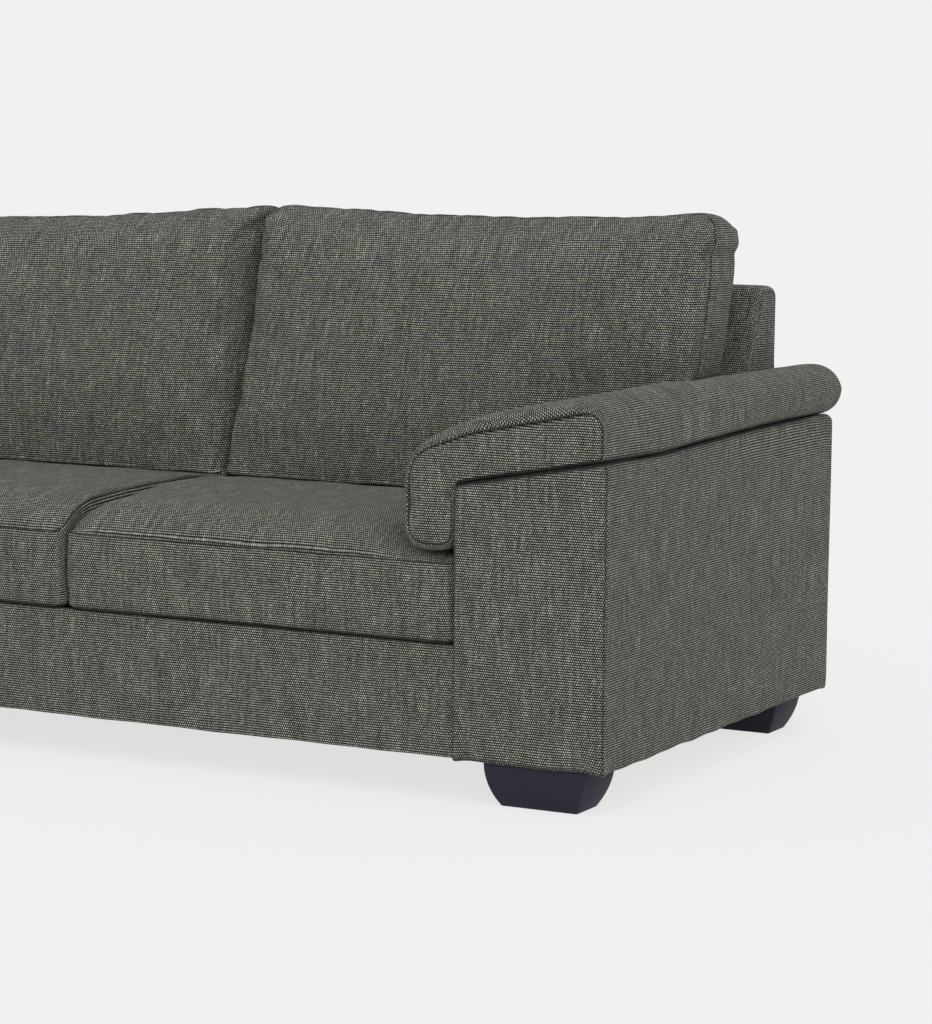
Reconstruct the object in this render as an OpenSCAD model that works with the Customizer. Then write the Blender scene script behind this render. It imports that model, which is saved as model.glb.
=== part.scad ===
// Chaise sofa: a two-seat unit and a chaise unit side by side, wrap-over arm pads,
// loose seat and back cushions. Millimetres, +Z up, X along the sofa, the back towards +Y.
// The origin is on the floor, in the middle of the whole sofa's width and depth.

/* [Seats] */
// Width of one seat
seat_w = 780; // [680:5:900]
// Depth of the sofa unit, arm front to outside back
sofa_depth = 1000; // [900:5:1100]
// How far the chaise runs out in front of the sofa unit
chaise_extra = 600; // [400:5:800]
// Height of the deck that the seat cushions lie on
deck_h = 266; // [230:1:300]
// How far the padded front border stands back from the arm fronts
border_setback = 10; // [4:1:30]

/* [Seat cushions] */
// Height of the boxing, from the deck to the top seam
seat_boxing = 137; // [110:1:165]
// Rise of the crown above the top seam, behind the front
seat_crown = 52; // [35:1:70]
// Depth over which the crown rises behind the front
seat_rise_d = 150; // [110:1:190]
// Further rise of the crown halfway to the back cushions
seat_heart = 14; // [8:1:22]
// Depth of the top seam below the crown, along a side with no arm pad
side_seam_drop = 10; // [6:1:16]
// Rise of the crown next to the seam, all that an arm pad leaves room for
edge_rise = 15; // [8:1:20]
// Radius of the cushion's upright corners
seat_corner_r = 42; // [25:1:60]
// How far the sides pull in between the corners
side_draw = 6; // [2:1:10]

/* [Back cushions] */
// Height of the top seam at the middle of a cushion
cushion_top = 958; // [900:1:1000]
// Rise of the cushion's corners above the middle of its top
ear_rise = 14; // [5:1:25]
// How far the middle cushion has slumped towards the chaise
slump = 32; // [10:1:45]
// Lean of the cushion's front, in degrees
cushion_rake = 15.4; // [11:0.1:17]
// Depth of a cushion at its foot, from the line of its front to the back frame
cushion_foot_d = 234; // [215:1:260]
// How far the front panel wraps round the edges
cushion_wrap = 38; // [25:1:45]
// Width of the boxing behind the front panel
cushion_boxing = 100; // [80:1:110]
// Swell of the cushion's front
front_crown = 46; // [30:1:60]
// Radius of the cushion's corners
cushion_corner_r = 42; // [25:1:55]
// How far the outer cushion stops short of the arm's outer face
cushion_wing_inset = 130; // [110:1:160]

/* [Arms] */
// Width of an arm
arm_w = 280; // [240:1:320]
// Height of the arm's top at its outer face
arm_outer_h = 591; // [570:1:620]
// Height of the arm's top at its inner face
arm_inner_h = 537; // [515:1:555]
// Radius of the arm's upper inner edge
arm_inner_r = 20; // [10:1:30]
// Radius of the arm's upper outer edge
arm_outer_r = 9; // [4:1:20]
// Radius of the edges along the arm's foot
arm_foot_r = 5; // [2:1:10]

/* [Arm pads] */
// Thickness of the pad on the arm's top
pad_t = 102; // [85:1:115]
// Thickness of the part that hangs down the inside of the arm
pad_drop_t = 98; // [80:1:110]
// Height of the pad's rounded shoulder over the arm's inner edge
pad_shoulder = 57; // [45:1:70]
// Distance of the bend in the pad's top from the arm's outer face
pad_bend_in = 218; // [200:1:235]
// Swell of the pad between its ends
pad_crown = 3; // [1:1:6]
// How far the pad's rear end flares past the arm's outer face
pad_flare = 15; // [5:1:20]
// Radius of the edge round the pad's front facing
pad_edge_r = 14; // [8:1:20]
// How far the pad's front end stays inside the arm's outer face
pad_end_in = 3; // [1:1:10]
// Radius of the pad's shoulder over the arm's inner edge
pad_shoulder_r = 76; // [50:1:80]
// Radius of the pad's lower outer edge, at the front and at the rear end
pad_toe_r = 24; // [15:1:30]
pad_rear_toe_r = 44; // [30:1:50]
// Radius of the hanging part's foot, towards the seat
pad_foot_r = 44; // [25:1:46]
// Radius of the pad's upper outer edge
pad_end_r = 42; // [25:1:48]

/* [Back] */
// Height of the back frame
back_h = 826; // [800:1:860]
// Thickness of the back frame at its top
back_top_t = 86; // [75:1:110]
// Lean of the back frame's front, in degrees
back_rake = 18.4; // [17.5:0.1:21]
// How far the back frame stops short of the arm's outer face
back_wing_inset = 122; // [110:1:150]
// Thickness of the padding on the front and top of the back
back_padding = 30; // [20:1:36]
// Radius of the back frame's upper edges
back_edge_r = 14; // [8:1:20]

/* [Feet] */
// Height of a foot
foot_h = 77; // [60:1:100]
// Width of a foot on the floor
foot_w = 140; // [110:1:150]
// Depth of a foot on the floor
foot_d = 78; // [65:1:90]
// How far each side of a foot flares outwards to its top
foot_flare = 23; // [14:1:28]
// Distance of an arm's foot from the arm's outer face, on the floor
foot_inset_x = 61; // [50:1:70]
// Distance of a front foot from the front, on the floor
foot_inset_front = 32; // [28:1:45]
// Distance of a rear foot from the outside back, on the floor
foot_inset_rear = 59; // [45:1:70]
// Distance of a seat foot's middle from the side of its unit
seat_foot_in = 115; // [105:1:130]

/* [Timber frame] */
// Thickness of the rails and posts
rail_t = 28; // [22:1:32]
// Thickness of the arm's boards
board_t = 18; // [12:1:24]
// Thickness of the arm's base board
arm_base_t = 40; // [37:1:50]
// Height of the rails across the back frame
back_rail_h = 70; // [50:1:90]
// Height of the lower back rail's foot above the deck
back_rail_rise = 40; // [20:1:80]
// Width and depth of a block over a seat foot
block_w = 150; // [125:1:170]
block_d = 84; // [75:1:95]
// Height of a block over a seat foot
block_h = 60; // [40:1:90]

/* [Upholstery] */
// Thickness of the padded covers on the arms, borders and outside back
cover_t = 12; // [8:1:16]
// Thickness of the deck
deck_t = 13; // [8:1:18]
// Thickness of the dust cover under the seat
dust_t = 2; // [1:0.5:3]
// Thickness of the elastic webbing
webbing_t = 2; // [1.5:0.5:3]
// Width of the elastic webbing
webbing_w = 60; // [40:1:70]
// Distance from one strap to the next
webbing_pitch = 118; // [90:1:150]
// Thickness of the fibre wrap round a foam core
wrap_t = 24; // [18:1:34]
// Thickness of a back cushion's foam core
back_core_t = 110; // [80:1:125]

/* [Fasteners] */
// Radius of a foot bolt
bolt_r = 4; // [3:0.5:5]
// Length of a foot bolt inside the foot
bolt_in_foot = 40; // [30:1:50]
// Length of a foot bolt above the foot
bolt_above = 34; // [25:1:36]
// Length, width and thickness of a plate that joins the two units
plate_l = 110; // [90:1:130]
plate_w = 40; // [30:1:60]
plate_t = 3; // [2:0.5:4]

/* [Clearances] */
// Gap between two loose cushions
cushion_gap = 4; // [2:0.5:8]
// Gap between the two units
unit_gap = 2; // [1:0.5:4]
// Gap round soft pieces
soft_gap = 0.5; // [0.3:0.1:1]
// Gap round boards and bolts
fit_gap = 0.3; // [0.2:0.05:0.6]
// Gap between the seat cushion's edge and the arm pad above it
drop_gap = 4; // [2:0.5:8]

/* [Hidden] */

fabric = [0.36, 0.39, 0.34];
timber = [0.78, 0.63, 0.44];
foot_paint = [0.16, 0.15, 0.19];
steel = [0.62, 0.63, 0.65];
cloth = [0.18, 0.18, 0.18];
foam = [0.93, 0.89, 0.74];
strap = [0.25, 0.24, 0.22];

// Places along the sofa
arm_in = 1.5 * seat_w;
arm_out = arm_in + arm_w;
unit_x = -0.5 * seat_w;
sofa_x0 = unit_x + unit_gap / 2;
chaise_x0 = -arm_in;
chaise_x1 = unit_x - unit_gap / 2;
middle_x = 0.5 * seat_w;
back_wing_x = arm_out - back_wing_inset;

// Places from front to back
rear_y = (sofa_depth + chaise_extra) / 2;
front_y = rear_y - sofa_depth;
chaise_y = front_y - chaise_extra;
inner_rear_y = rear_y - cover_t;
border_y = front_y + border_setback;
chaise_border_y = chaise_y + border_setback;
cushion_front_y = front_y + 2;
chaise_cushion_front_y = chaise_y + 2;

// Heights
rail_z0 = foot_h + dust_t;
deck_z0 = deck_h - deck_t;
rail_z1 = deck_z0 - webbing_t;
seat_z0 = deck_h + soft_gap;
seam_z = deck_h + seat_boxing;
seat_top_z = seam_z + seat_crown;
cushion_z0 = seat_top_z + soft_gap;
drop_z = seam_z + edge_rise + drop_gap;
arm_base_z1 = foot_h + arm_base_t;

// The slope of the arm's top, and the two leaning fronts
function arm_top_z(x) = arm_inner_h + (arm_outer_h - arm_inner_h) * (x - arm_in) / arm_w;
function back_face_y(z) = rear_y - back_top_t - (back_h - z) * tan(back_rake);
cushion_foot_y = back_face_y(seat_top_z) - cushion_foot_d;
function cushion_face_y(z) = cushion_foot_y + (z - seat_top_z) * tan(cushion_rake);
seat_rear_y = back_face_y(deck_h) - soft_gap;
deck_rear_y = back_face_y(deck_z0) - soft_gap;
web_y = back_padding / cos(back_rake);
post_y = web_y + webbing_t;

// A polygon of [x, y, r] corners with each corner rounded to its radius r
corner_steps = 4;
function unit(v) = v / norm(v);
function corner_arc(a, b, c) =
    let (u = unit([a.x - b.x, a.y - b.y]), v = unit([c.x - b.x, c.y - b.y]),
         half = acos(max(-1, min(1, u * v))) / 2,
         middle = [b.x, b.y] + unit(u + v) * b.z / sin(half),
         p = [b.x, b.y] + u * b.z / tan(half), q = [b.x, b.y] + v * b.z / tan(half),
         from = atan2(p.y - middle.y, p.x - middle.x),
         turn = atan2(q.y - middle.y, q.x - middle.x) - from,
         short = turn > 180 ? turn - 360 : turn < -180 ? turn + 360 : turn)
    [for (i = [0:corner_steps]) middle + b.z * [cos(from + short * i / corner_steps),
                                                sin(from + short * i / corner_steps)]];
function rounded(corners) =
    let (n = len(corners))
    [for (k = [0:n - 1])
        each corners[k].z > 0
            ? corner_arc(corners[(k + n - 1) % n], corners[k], corners[(k + 1) % n])
            : [[corners[k].x, corners[k].y]]];

// The same polygon with edge k moved inwards by shift[k], for corners that run anticlockwise
function inward(a, b) = unit([a.y - b.y, b.x - a.x]);
function shifted(corners, shift, grow) =
    let (n = len(corners))
    [for (k = [0:n - 1])
        let (a = corners[(k + n - 1) % n], b = corners[k], c = corners[(k + 1) % n],
             m = inward(a, b), w = inward(b, c), e = shift[(k + n - 1) % n], f = shift[k],
             det = m.x * w.y - w.x * m.y, turns_in = det < 0)
        [b.x + (e * w.y - f * m.y) / det, b.y + (m.x * f - w.x * e) / det,
         max(0.5, b.z + (turns_in ? grow : -grow))]];

// An outline with its long edges cut into steps, so that a crown can bend across it
function stepped(points, step) =
    let (n = len(points))
    [for (k = [0:n - 1])
        let (a = points[k], b = points[(k + 1) % n], cuts = max(1, ceil(norm(b - a) / step)))
        for (i = [0:cuts - 1]) a + (b - a) * i / cuts];

// A closed skin through rings of equally many points, closed by a fan at each end.
// The rings run anticlockwise as seen from the last one.
module skin(rings, first, last) {
    n = len(rings[0]);
    m = len(rings);
    polyhedron(
        points = concat([for (r = rings) each r], [first, last]),
        faces = concat(
            [for (j = [0:m - 2], i = [0:n - 1])
                let (a = j * n + i, b = j * n + (i + 1) % n, c = b + n, d = a + n)
                each [[a, c, b], [a, d, c]]],
            [for (i = [0:n - 1]) [m * n, i, (i + 1) % n]],
            [for (i = [0:n - 1]) [m * n + 1, (m - 1) * n + (i + 1) % n, (m - 1) * n + i]]));
}

// A block between two corners
module block(low, high) {
    translate(low) cube(high - low);
}

// A profile in Y and Z, run along X from x0 to x1
module run_x(x0, x1, profile) {
    translate([x0, 0, 0]) rotate([90, 0, 90]) linear_extrude(x1 - x0) polygon(profile);
}

// A profile in X and Z, run along Y from y0 to y1
module run_y(y0, y1, profile) {
    translate([0, y1, 0]) rotate([90, 0, 0]) linear_extrude(y1 - y0) polygon(profile);
}

// A slab that leans with the back, between two depths behind its front
module leaning_slab(x0, x1, z0, z1, depth0, depth1) {
    run_x(x0, x1, [[back_face_y(z0) + depth0, z0], [back_face_y(z0) + depth1, z0],
                   [back_face_y(z1) + depth1, z1], [back_face_y(z1) + depth0, z1]]);
}

// Seat rails: softwood planks on edge, glued and stapled into a box
module rail_x(x0, x1, y0) {
    color(timber) block([x0, y0, rail_z0], [x1, y0 + rail_t, rail_z1]);
}

module rail_y(x0, y0, y1) {
    color(timber) block([x0, y0, rail_z0], [x0 + rail_t, y1, rail_z1]);
}

sofa_rail_y0 = border_y + cover_t;
chaise_rail_y0 = chaise_border_y + cover_t;
rear_rail_y0 = inner_rear_y - rail_t;
seat_rear_rail_y0 = deck_rear_y;
chaise_rail_x0 = chaise_x0 + cover_t;
chaise_rail_x1 = chaise_x1 - cover_t;

module sofa_front_rail() { rail_x(sofa_x0, arm_in, sofa_rail_y0); }
module sofa_rear_rail() { rail_x(sofa_x0, arm_in, rear_rail_y0); }
module chaise_front_rail() { rail_x(chaise_rail_x0, chaise_rail_x1, chaise_rail_y0); }
module chaise_rear_rail() { rail_x(chaise_rail_x0, chaise_rail_x1, rear_rail_y0); }

module sofa_side_rails() {
    for (x = [sofa_x0, arm_in - rail_t]) rail_y(x, sofa_rail_y0 + rail_t, rear_rail_y0);
}

module chaise_side_rails() {
    for (x = [chaise_rail_x0, chaise_rail_x1 - rail_t])
        rail_y(x, chaise_rail_y0 + rail_t, rear_rail_y0);
}

module sofa_centre_rail() {
    rail_y(middle_x - rail_t / 2, sofa_rail_y0 + rail_t, rear_rail_y0);
}

// The rail that the rear ends of the seat webbing are stapled to
module sofa_seat_rear_rail() {
    rail_x(sofa_x0 + rail_t, middle_x - rail_t / 2, seat_rear_rail_y0);
    rail_x(middle_x + rail_t / 2, arm_in - rail_t, seat_rear_rail_y0);
}

module chaise_seat_rear_rail() {
    rail_x(chaise_rail_x0 + rail_t, chaise_rail_x1 - rail_t, seat_rear_rail_y0);
}

// A cross rail under the line where the chaise leaves the sofa unit
module chaise_cross_rail() {
    rail_x(chaise_rail_x0 + rail_t, chaise_rail_x1 - rail_t, sofa_rail_y0);
}

// Elastic webbing: front to back under the two seats, side to side under the chaise
function strap_places(from, to) =
    let (n = floor((to - from - webbing_w) / webbing_pitch))
    [for (i = [0:n]) (from + to) / 2 + (i - n / 2) * webbing_pitch];

module sofa_seat_webbing() {
    color(strap)
        for (seat = [[sofa_x0 + rail_t, middle_x - rail_t / 2],
                     [middle_x + rail_t / 2, arm_in - rail_t]],
             x = strap_places(seat[0], seat[1]))
            block([x - webbing_w / 2, sofa_rail_y0, rail_z1],
                  [x + webbing_w / 2, seat_rear_rail_y0 + rail_t, deck_z0]);
}

module chaise_seat_webbing() {
    color(strap)
        for (y = strap_places(chaise_rail_y0 + rail_t, seat_rear_rail_y0))
            block([chaise_rail_x0, y - webbing_w / 2, rail_z1],
                  [chaise_rail_x1, y + webbing_w / 2, deck_z0]);
}

// Deck: felt and cloth over the webbing, on which the seat cushions lie
module sofa_deck() {
    color(cloth) block([sofa_x0, border_y, deck_z0], [arm_in, deck_rear_y, deck_h]);
}

module chaise_deck() {
    color(cloth)
        block([chaise_x0, chaise_border_y, deck_z0], [chaise_x1, deck_rear_y, deck_h]);
}

// Padded border under the seats: a straight front, and one that goes round the chaise
border_edge_r = 3;
module sofa_front_border() {
    color(fabric)
        run_x(sofa_x0, arm_in,
              rounded([[border_y, foot_h, border_edge_r], [border_y + cover_t, foot_h, 0],
                       [border_y + cover_t, deck_z0, 0], [border_y, deck_z0, 0]]));
}

chaise_corner_r = 10;
module chaise_border() {
    color(fabric)
        translate([0, 0, foot_h])
            linear_extrude(deck_z0 - foot_h)
                difference() {
                    polygon(rounded([[chaise_x0, chaise_border_y, chaise_corner_r],
                                     [chaise_x1, chaise_border_y, chaise_corner_r],
                                     [chaise_x1, inner_rear_y, 0],
                                     [chaise_x0, inner_rear_y, 0]]));
                    polygon([[chaise_rail_x0, chaise_rail_y0], [chaise_rail_x1, chaise_rail_y0],
                             [chaise_rail_x1, inner_rear_y + 1],
                             [chaise_rail_x0, inner_rear_y + 1]]);
                }
}

// Feet: blocks whose four sides swell outwards to the top in an arc
foot_arc_r = (pow(foot_h, 2) + pow(foot_flare, 2)) / (2 * foot_flare);
front_foot_y = front_y + foot_inset_front + foot_d / 2;
chaise_foot_y = chaise_border_y + foot_inset_front + foot_d / 2;
rear_foot_y = rear_y - foot_inset_rear - foot_d / 2;
arm_foot_x = arm_out - foot_inset_x - foot_w / 2;
sofa_foot_places = [[arm_foot_x, front_foot_y], [arm_foot_x, rear_foot_y],
                    [sofa_x0 + seat_foot_in, front_foot_y], [sofa_x0 + seat_foot_in, rear_foot_y]];
chaise_foot_places = [[-arm_foot_x, front_foot_y], [-arm_foot_x, rear_foot_y],
                      [chaise_x0 + seat_foot_in, chaise_foot_y],
                      [chaise_x1 - seat_foot_in, chaise_foot_y],
                      [chaise_x1 - seat_foot_in, rear_foot_y]];

module foot_profile(width, thickness) {
    top = width / 2 + foot_flare;
    rotate([90, 0, 0])
        linear_extrude(thickness, center = true)
            intersection() {
                translate([-top, 0]) square([2 * top, foot_h]);
                translate([top - foot_arc_r, foot_h]) circle(foot_arc_r, $fn = 96);
                translate([foot_arc_r - top, foot_h]) circle(foot_arc_r, $fn = 96);
            }
}

module foot() {
    color(foot_paint)
        difference() {
            intersection() {
                foot_profile(foot_w, foot_d + 2 * foot_flare + 2);
                rotate([0, 0, 90]) foot_profile(foot_d, foot_w + 2 * foot_flare + 2);
            }
            translate([0, 0, foot_h - bolt_in_foot - fit_gap])
                cylinder(r = bolt_r + fit_gap, h = bolt_in_foot + 1, $fn = 32);
        }
}

module sofa_feet() { for (p = sofa_foot_places) translate(p) foot(); }
module chaise_feet() { for (p = chaise_foot_places) translate(p) foot(); }

// Bolts that hold the feet, in the arms' base boards and in the blocks over the seat feet
module foot_bolts() {
    color(steel)
        for (p = concat(sofa_foot_places, chaise_foot_places))
            translate([p.x, p.y, foot_h - bolt_in_foot])
                cylinder(r = bolt_r, h = bolt_in_foot + bolt_above, $fn = 32);
}

module bolt_hole(p) {
    translate([p.x, p.y, foot_h - 1])
        cylinder(r = bolt_r + fit_gap, h = bolt_above + 1 + fit_gap, $fn = 32);
}

// One block, from its corner at the rails; into_x and into_y point into the frame
module foot_block(corner, into_x, into_y, bolt) {
    low = [min(corner.x, corner.x + into_x * block_w), min(corner.y, corner.y + into_y * block_d)];
    color(timber)
        difference() {
            block([low.x, low.y, rail_z0], [low.x + block_w, low.y + block_d, rail_z0 + block_h]);
            bolt_hole(bolt);
        }
}

module foot_blocks() {
    foot_block([sofa_x0 + rail_t, sofa_rail_y0 + rail_t], 1, 1, sofa_foot_places[2]);
    foot_block([sofa_x0 + rail_t, rear_rail_y0], 1, -1, sofa_foot_places[3]);
    foot_block([chaise_rail_x0 + rail_t, chaise_rail_y0 + rail_t], 1, 1, chaise_foot_places[2]);
    foot_block([chaise_rail_x1 - rail_t, chaise_rail_y0 + rail_t], -1, 1, chaise_foot_places[3]);
    foot_block([chaise_rail_x1 - rail_t, rear_rail_y0], -1, -1, chaise_foot_places[4]);
}

// Dust covers: black cloth stapled under the rails, pierced by the foot bolts
module sofa_dust_cover() {
    color(cloth)
        difference() {
            block([sofa_x0, sofa_rail_y0, foot_h], [arm_in, inner_rear_y, rail_z0]);
            for (k = [2, 3]) bolt_hole(sofa_foot_places[k]);
        }
}

module chaise_dust_cover() {
    color(cloth)
        difference() {
            block([chaise_rail_x0, chaise_rail_y0, foot_h],
                  [chaise_rail_x1, inner_rear_y, rail_z0]);
            for (k = [2, 3, 4]) bolt_hole(chaise_foot_places[k]);
        }
}

// Steel plates screwed under both units where they meet, clear of the feet
foot_reach = foot_d / 2 + foot_flare;
module unit_plates() {
    color(steel)
        for (y = [front_foot_y + foot_reach + plate_w, rear_foot_y - foot_reach - 2 * plate_w])
            block([unit_x - plate_l / 2, y, foot_h - plate_t],
                  [unit_x + plate_l / 2, y + plate_w, foot_h]);
}

// Arms: plywood boards on a base board, under a padded cover
module left() { mirror([1, 0, 0]) children(); }

function arm_outline(inset, z0) =
    rounded([[arm_in + inset, z0, inset > 0 ? 0 : arm_foot_r],
             [arm_out - inset, z0, inset > 0 ? 0 : arm_foot_r],
             [arm_out - inset, arm_top_z(arm_out - inset) - inset, max(1, arm_outer_r - inset)],
             [arm_in + inset, arm_top_z(arm_in + inset) - inset, max(1, arm_inner_r - inset)]]);

arm_inner_inset = cover_t + fit_gap;
board_y0 = front_y + arm_inner_inset;
board_y1 = rear_y - arm_inner_inset;

module arm_cover() {
    color(fabric)
        difference() {
            run_y(front_y, rear_y, arm_outline(0, foot_h));
            run_y(front_y + cover_t, rear_y - cover_t, arm_outline(cover_t, foot_h - 1));
        }
}

module arm_base_board() {
    color(timber)
        difference() {
            block([arm_in + arm_inner_inset, board_y0, foot_h],
                  [arm_out - arm_inner_inset, board_y1, arm_base_z1]);
            for (k = [0, 1]) bolt_hole(sofa_foot_places[k]);
        }
}

module arm_end_board(y0) {
    color(timber) run_y(y0, y0 + board_t, arm_outline(arm_inner_inset, arm_base_z1));
}

module arm_top_board() {
    x0 = arm_in + arm_inner_inset + arm_inner_r;
    x1 = arm_out - arm_inner_inset;
    color(timber)
        run_y(board_y0 + board_t, board_y1 - board_t,
              [[x0, arm_top_z(x0) - arm_inner_inset - board_t],
               [x1, arm_top_z(x1) - arm_inner_inset - board_t],
               [x1, arm_top_z(x1) - arm_inner_inset], [x0, arm_top_z(x0) - arm_inner_inset]]);
}

// Arm pad: a thick J that lies on the arm's sloping top and hangs down inside it. Its corners
// run anticlockwise from the foot of the hanging part, as seen from the front.
pad_in_x = arm_in - pad_drop_t;
pad_bend_x = arm_out - pad_bend_in;
pad_out_x = arm_out - pad_end_in;
pad_swell = 5;
pad_lift = soft_gap / 2;
pad_heel_r = 30;
pad_bend_r = 160;
pad_corners = [
    [pad_in_x, drop_z, pad_foot_r],
    [arm_in - soft_gap, drop_z, pad_heel_r],
    [arm_in - soft_gap, arm_top_z(arm_in - soft_gap) + pad_lift, arm_inner_r],
    [pad_out_x, arm_top_z(pad_out_x) + pad_lift, pad_toe_r],
    [pad_out_x, arm_top_z(pad_out_x) + pad_t + pad_swell, pad_end_r],
    [pad_bend_x, arm_top_z(pad_bend_x) + pad_t, pad_bend_r],
    [pad_in_x, arm_inner_h + pad_shoulder, pad_shoulder_r]
];
// Which of the pad's edges swell: the outer end, the top and the side towards the seat
pad_free_edges = [0, 0, 0, 0, 1, 1, 1];
pad_flare_edges = [0, 0, 0, 1, 0, 0, 0];

// The pad's section at t of its length, drawn in by the amount that rounds its ends
toe = 3;
function pad_corners_at(t) =
    [for (k = [0:len(pad_corners) - 1])
        pad_corners[k] + (k == toe ? [0, 0, (pad_rear_toe_r - pad_toe_r) * t * t] : [0, 0, 0])];
function pad_section(t, draw) =
    rounded(shifted(pad_corners_at(t),
                    [for (k = [0:len(pad_corners) - 1])
                        draw - pad_free_edges[k] * pad_crown * sin(180 * t)
                             - pad_flare_edges[k] * (pad_flare + arm_out - pad_out_x) * t * t],
                    draw));

pad_end_steps = 4;
pad_body_steps = 4;
function pad_end_draw(i) = pad_edge_r * (1 - sin(90 * i / pad_end_steps));
function pad_end_y(i) = pad_edge_r * (1 - cos(90 * i / pad_end_steps));
pad_stations = concat(
    [for (i = [0:pad_end_steps]) [rear_y - pad_end_y(i), 1, pad_end_draw(i)]],
    [for (i = [1:pad_body_steps - 1])
        [rear_y - pad_edge_r - (sofa_depth - 2 * pad_edge_r) * i / pad_body_steps,
         1 - i / pad_body_steps, 0]],
    [for (i = [pad_end_steps:-1:0]) [front_y + pad_end_y(i), 0, pad_end_draw(i)]]);

module arm_pad() {
    rings = [for (s = pad_stations) [for (p = pad_section(s[1], s[2])) [p.x, s[0], p.y]]];
    // a fan from the middle of the bend reaches every corner of the J
    heart = [arm_in - 30, arm_inner_h + 22];
    color(fabric)
        difference() {
            skin(rings, [heart.x, rear_y, heart.y], [heart.x, front_y, heart.y]);
            run_x(pad_in_x - 50, back_wing_x + soft_gap,
                  [[back_face_y(0) - soft_gap, 0], [rear_y + 50, 0], [rear_y + 50, back_h + 50],
                   [back_face_y(back_h + 50) - soft_gap, back_h + 50]]);
        }
}

module right_arm_base_board() { arm_base_board(); }
module right_arm_front_board() { arm_end_board(board_y0); }
module right_arm_rear_board() { arm_end_board(board_y1 - board_t); }
module right_arm_top_board() { arm_top_board(); }
module right_arm_cover() { arm_cover(); }
module right_arm_pad() { arm_pad(); }
module left_arm_base_board() { left() arm_base_board(); }
module left_arm_front_board() { left() arm_end_board(board_y0); }
module left_arm_rear_board() { left() arm_end_board(board_y1 - board_t); }
module left_arm_top_board() { left() arm_top_board(); }
module left_arm_cover() { left() arm_cover(); }
module left_arm_pad() { left() arm_pad(); }

// Back: x0 is the side at the other unit, and the outer end spreads over the arm as a wing.
// The chaise's back is the mirror image of such a back, with its own x0.
function back_front_outline(x0, inset, z0, top_inset, r) =
    rounded([[x0 + inset, z0, 0], [arm_in - inset, z0, 0],
             [arm_in - inset, arm_top_z(arm_in) + soft_gap + inset, 0],
             [back_wing_x - inset, arm_top_z(back_wing_x) + soft_gap + inset, 0],
             [back_wing_x - inset, back_h - top_inset, r], [x0 + inset, back_h - top_inset, r]]);

module back_solid(x0, z0) {
    intersection() {
        run_y(front_y, rear_y, back_front_outline(x0, 0, z0, 0, back_edge_r));
        run_x(x0 - 1, arm_out,
              rounded([[back_face_y(z0), z0, 0], [rear_y, z0, 0], [rear_y, back_h, back_edge_r],
                       [back_face_y(back_h), back_h, back_edge_r]]));
    }
}

module back_cover(x0) {
    z0 = deck_z0;
    color(fabric)
        difference() {
            back_solid(x0, z0);
            block([x0 - 1, inner_rear_y, z0 - 1], [arm_out, rear_y + 1, back_h + 1]);
            intersection() {
                run_y(front_y, inner_rear_y + 1,
                      back_front_outline(x0, cover_t, z0 - 1, back_padding, 0));
                run_x(x0 - 1, arm_out,
                      [[back_face_y(z0 - 1) + web_y, z0 - 1], [inner_rear_y + 1, z0 - 1],
                       [inner_rear_y + 1, back_h], [back_face_y(back_h) + web_y, back_h]]);
            }
        }
}

module outside_back(x0) {
    color(fabric)
        intersection() {
            back_solid(x0, foot_h);
            block([x0 - 1, inner_rear_y, foot_h - 1], [arm_out, rear_y + 1, back_h + 1]);
        }
}

back_top_z = back_h - back_padding;
wing_post_x = back_wing_x - cover_t - rail_t;
function post_places(x0, middles) =
    concat([x0 + cover_t], [for (x = middles) x - rail_t / 2], [arm_in - cover_t - rail_t]);

// Plywood posts with sloping fronts, and a short one in the wing over the arm
module back_posts(x0, middles) {
    color(timber) {
        for (x = post_places(x0, middles))
            run_x(x, x + rail_t,
                  [[back_face_y(rail_z1) + post_y, rail_z1], [inner_rear_y, rail_z1],
                   [inner_rear_y, back_top_z], [back_face_y(back_top_z) + post_y, back_top_z]]);
        z0 = arm_top_z(back_wing_x) + soft_gap + cover_t;
        run_x(wing_post_x, wing_post_x + rail_t,
              [[back_face_y(z0) + post_y, z0], [inner_rear_y, z0], [inner_rear_y, back_top_z],
               [back_face_y(back_top_z) + post_y, back_top_z]]);
    }
}

// Rails between the posts: along the top, and low down where the webbing ends
module back_rails(x0, middles) {
    posts = post_places(x0, middles);
    low_z = deck_h + back_rail_rise;
    color(timber) {
        for (i = [0:len(posts) - 2])
            leaning_slab(posts[i] + rail_t, posts[i + 1], low_z, low_z + back_rail_h,
                         post_y, post_y + rail_t);
        for (span = concat([for (i = [0:len(posts) - 2]) [posts[i] + rail_t, posts[i + 1]]],
                           [[posts[len(posts) - 1] + rail_t, wing_post_x]]))
            run_x(span[0], span[1],
                  [[back_face_y(back_top_z - back_rail_h) + post_y, back_top_z - back_rail_h],
                   [inner_rear_y, back_top_z - back_rail_h], [inner_rear_y, back_top_z],
                   [back_face_y(back_top_z) + post_y, back_top_z]]);
    }
}

module back_webbing(x0, middles) {
    posts = post_places(x0, middles);
    color(strap)
        for (i = [0:len(posts) - 2], x = strap_places(posts[i] + rail_t, posts[i + 1]))
            leaning_slab(x - webbing_w / 2, x + webbing_w / 2, deck_h + back_rail_rise,
                         back_top_z, web_y, post_y);
}

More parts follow.
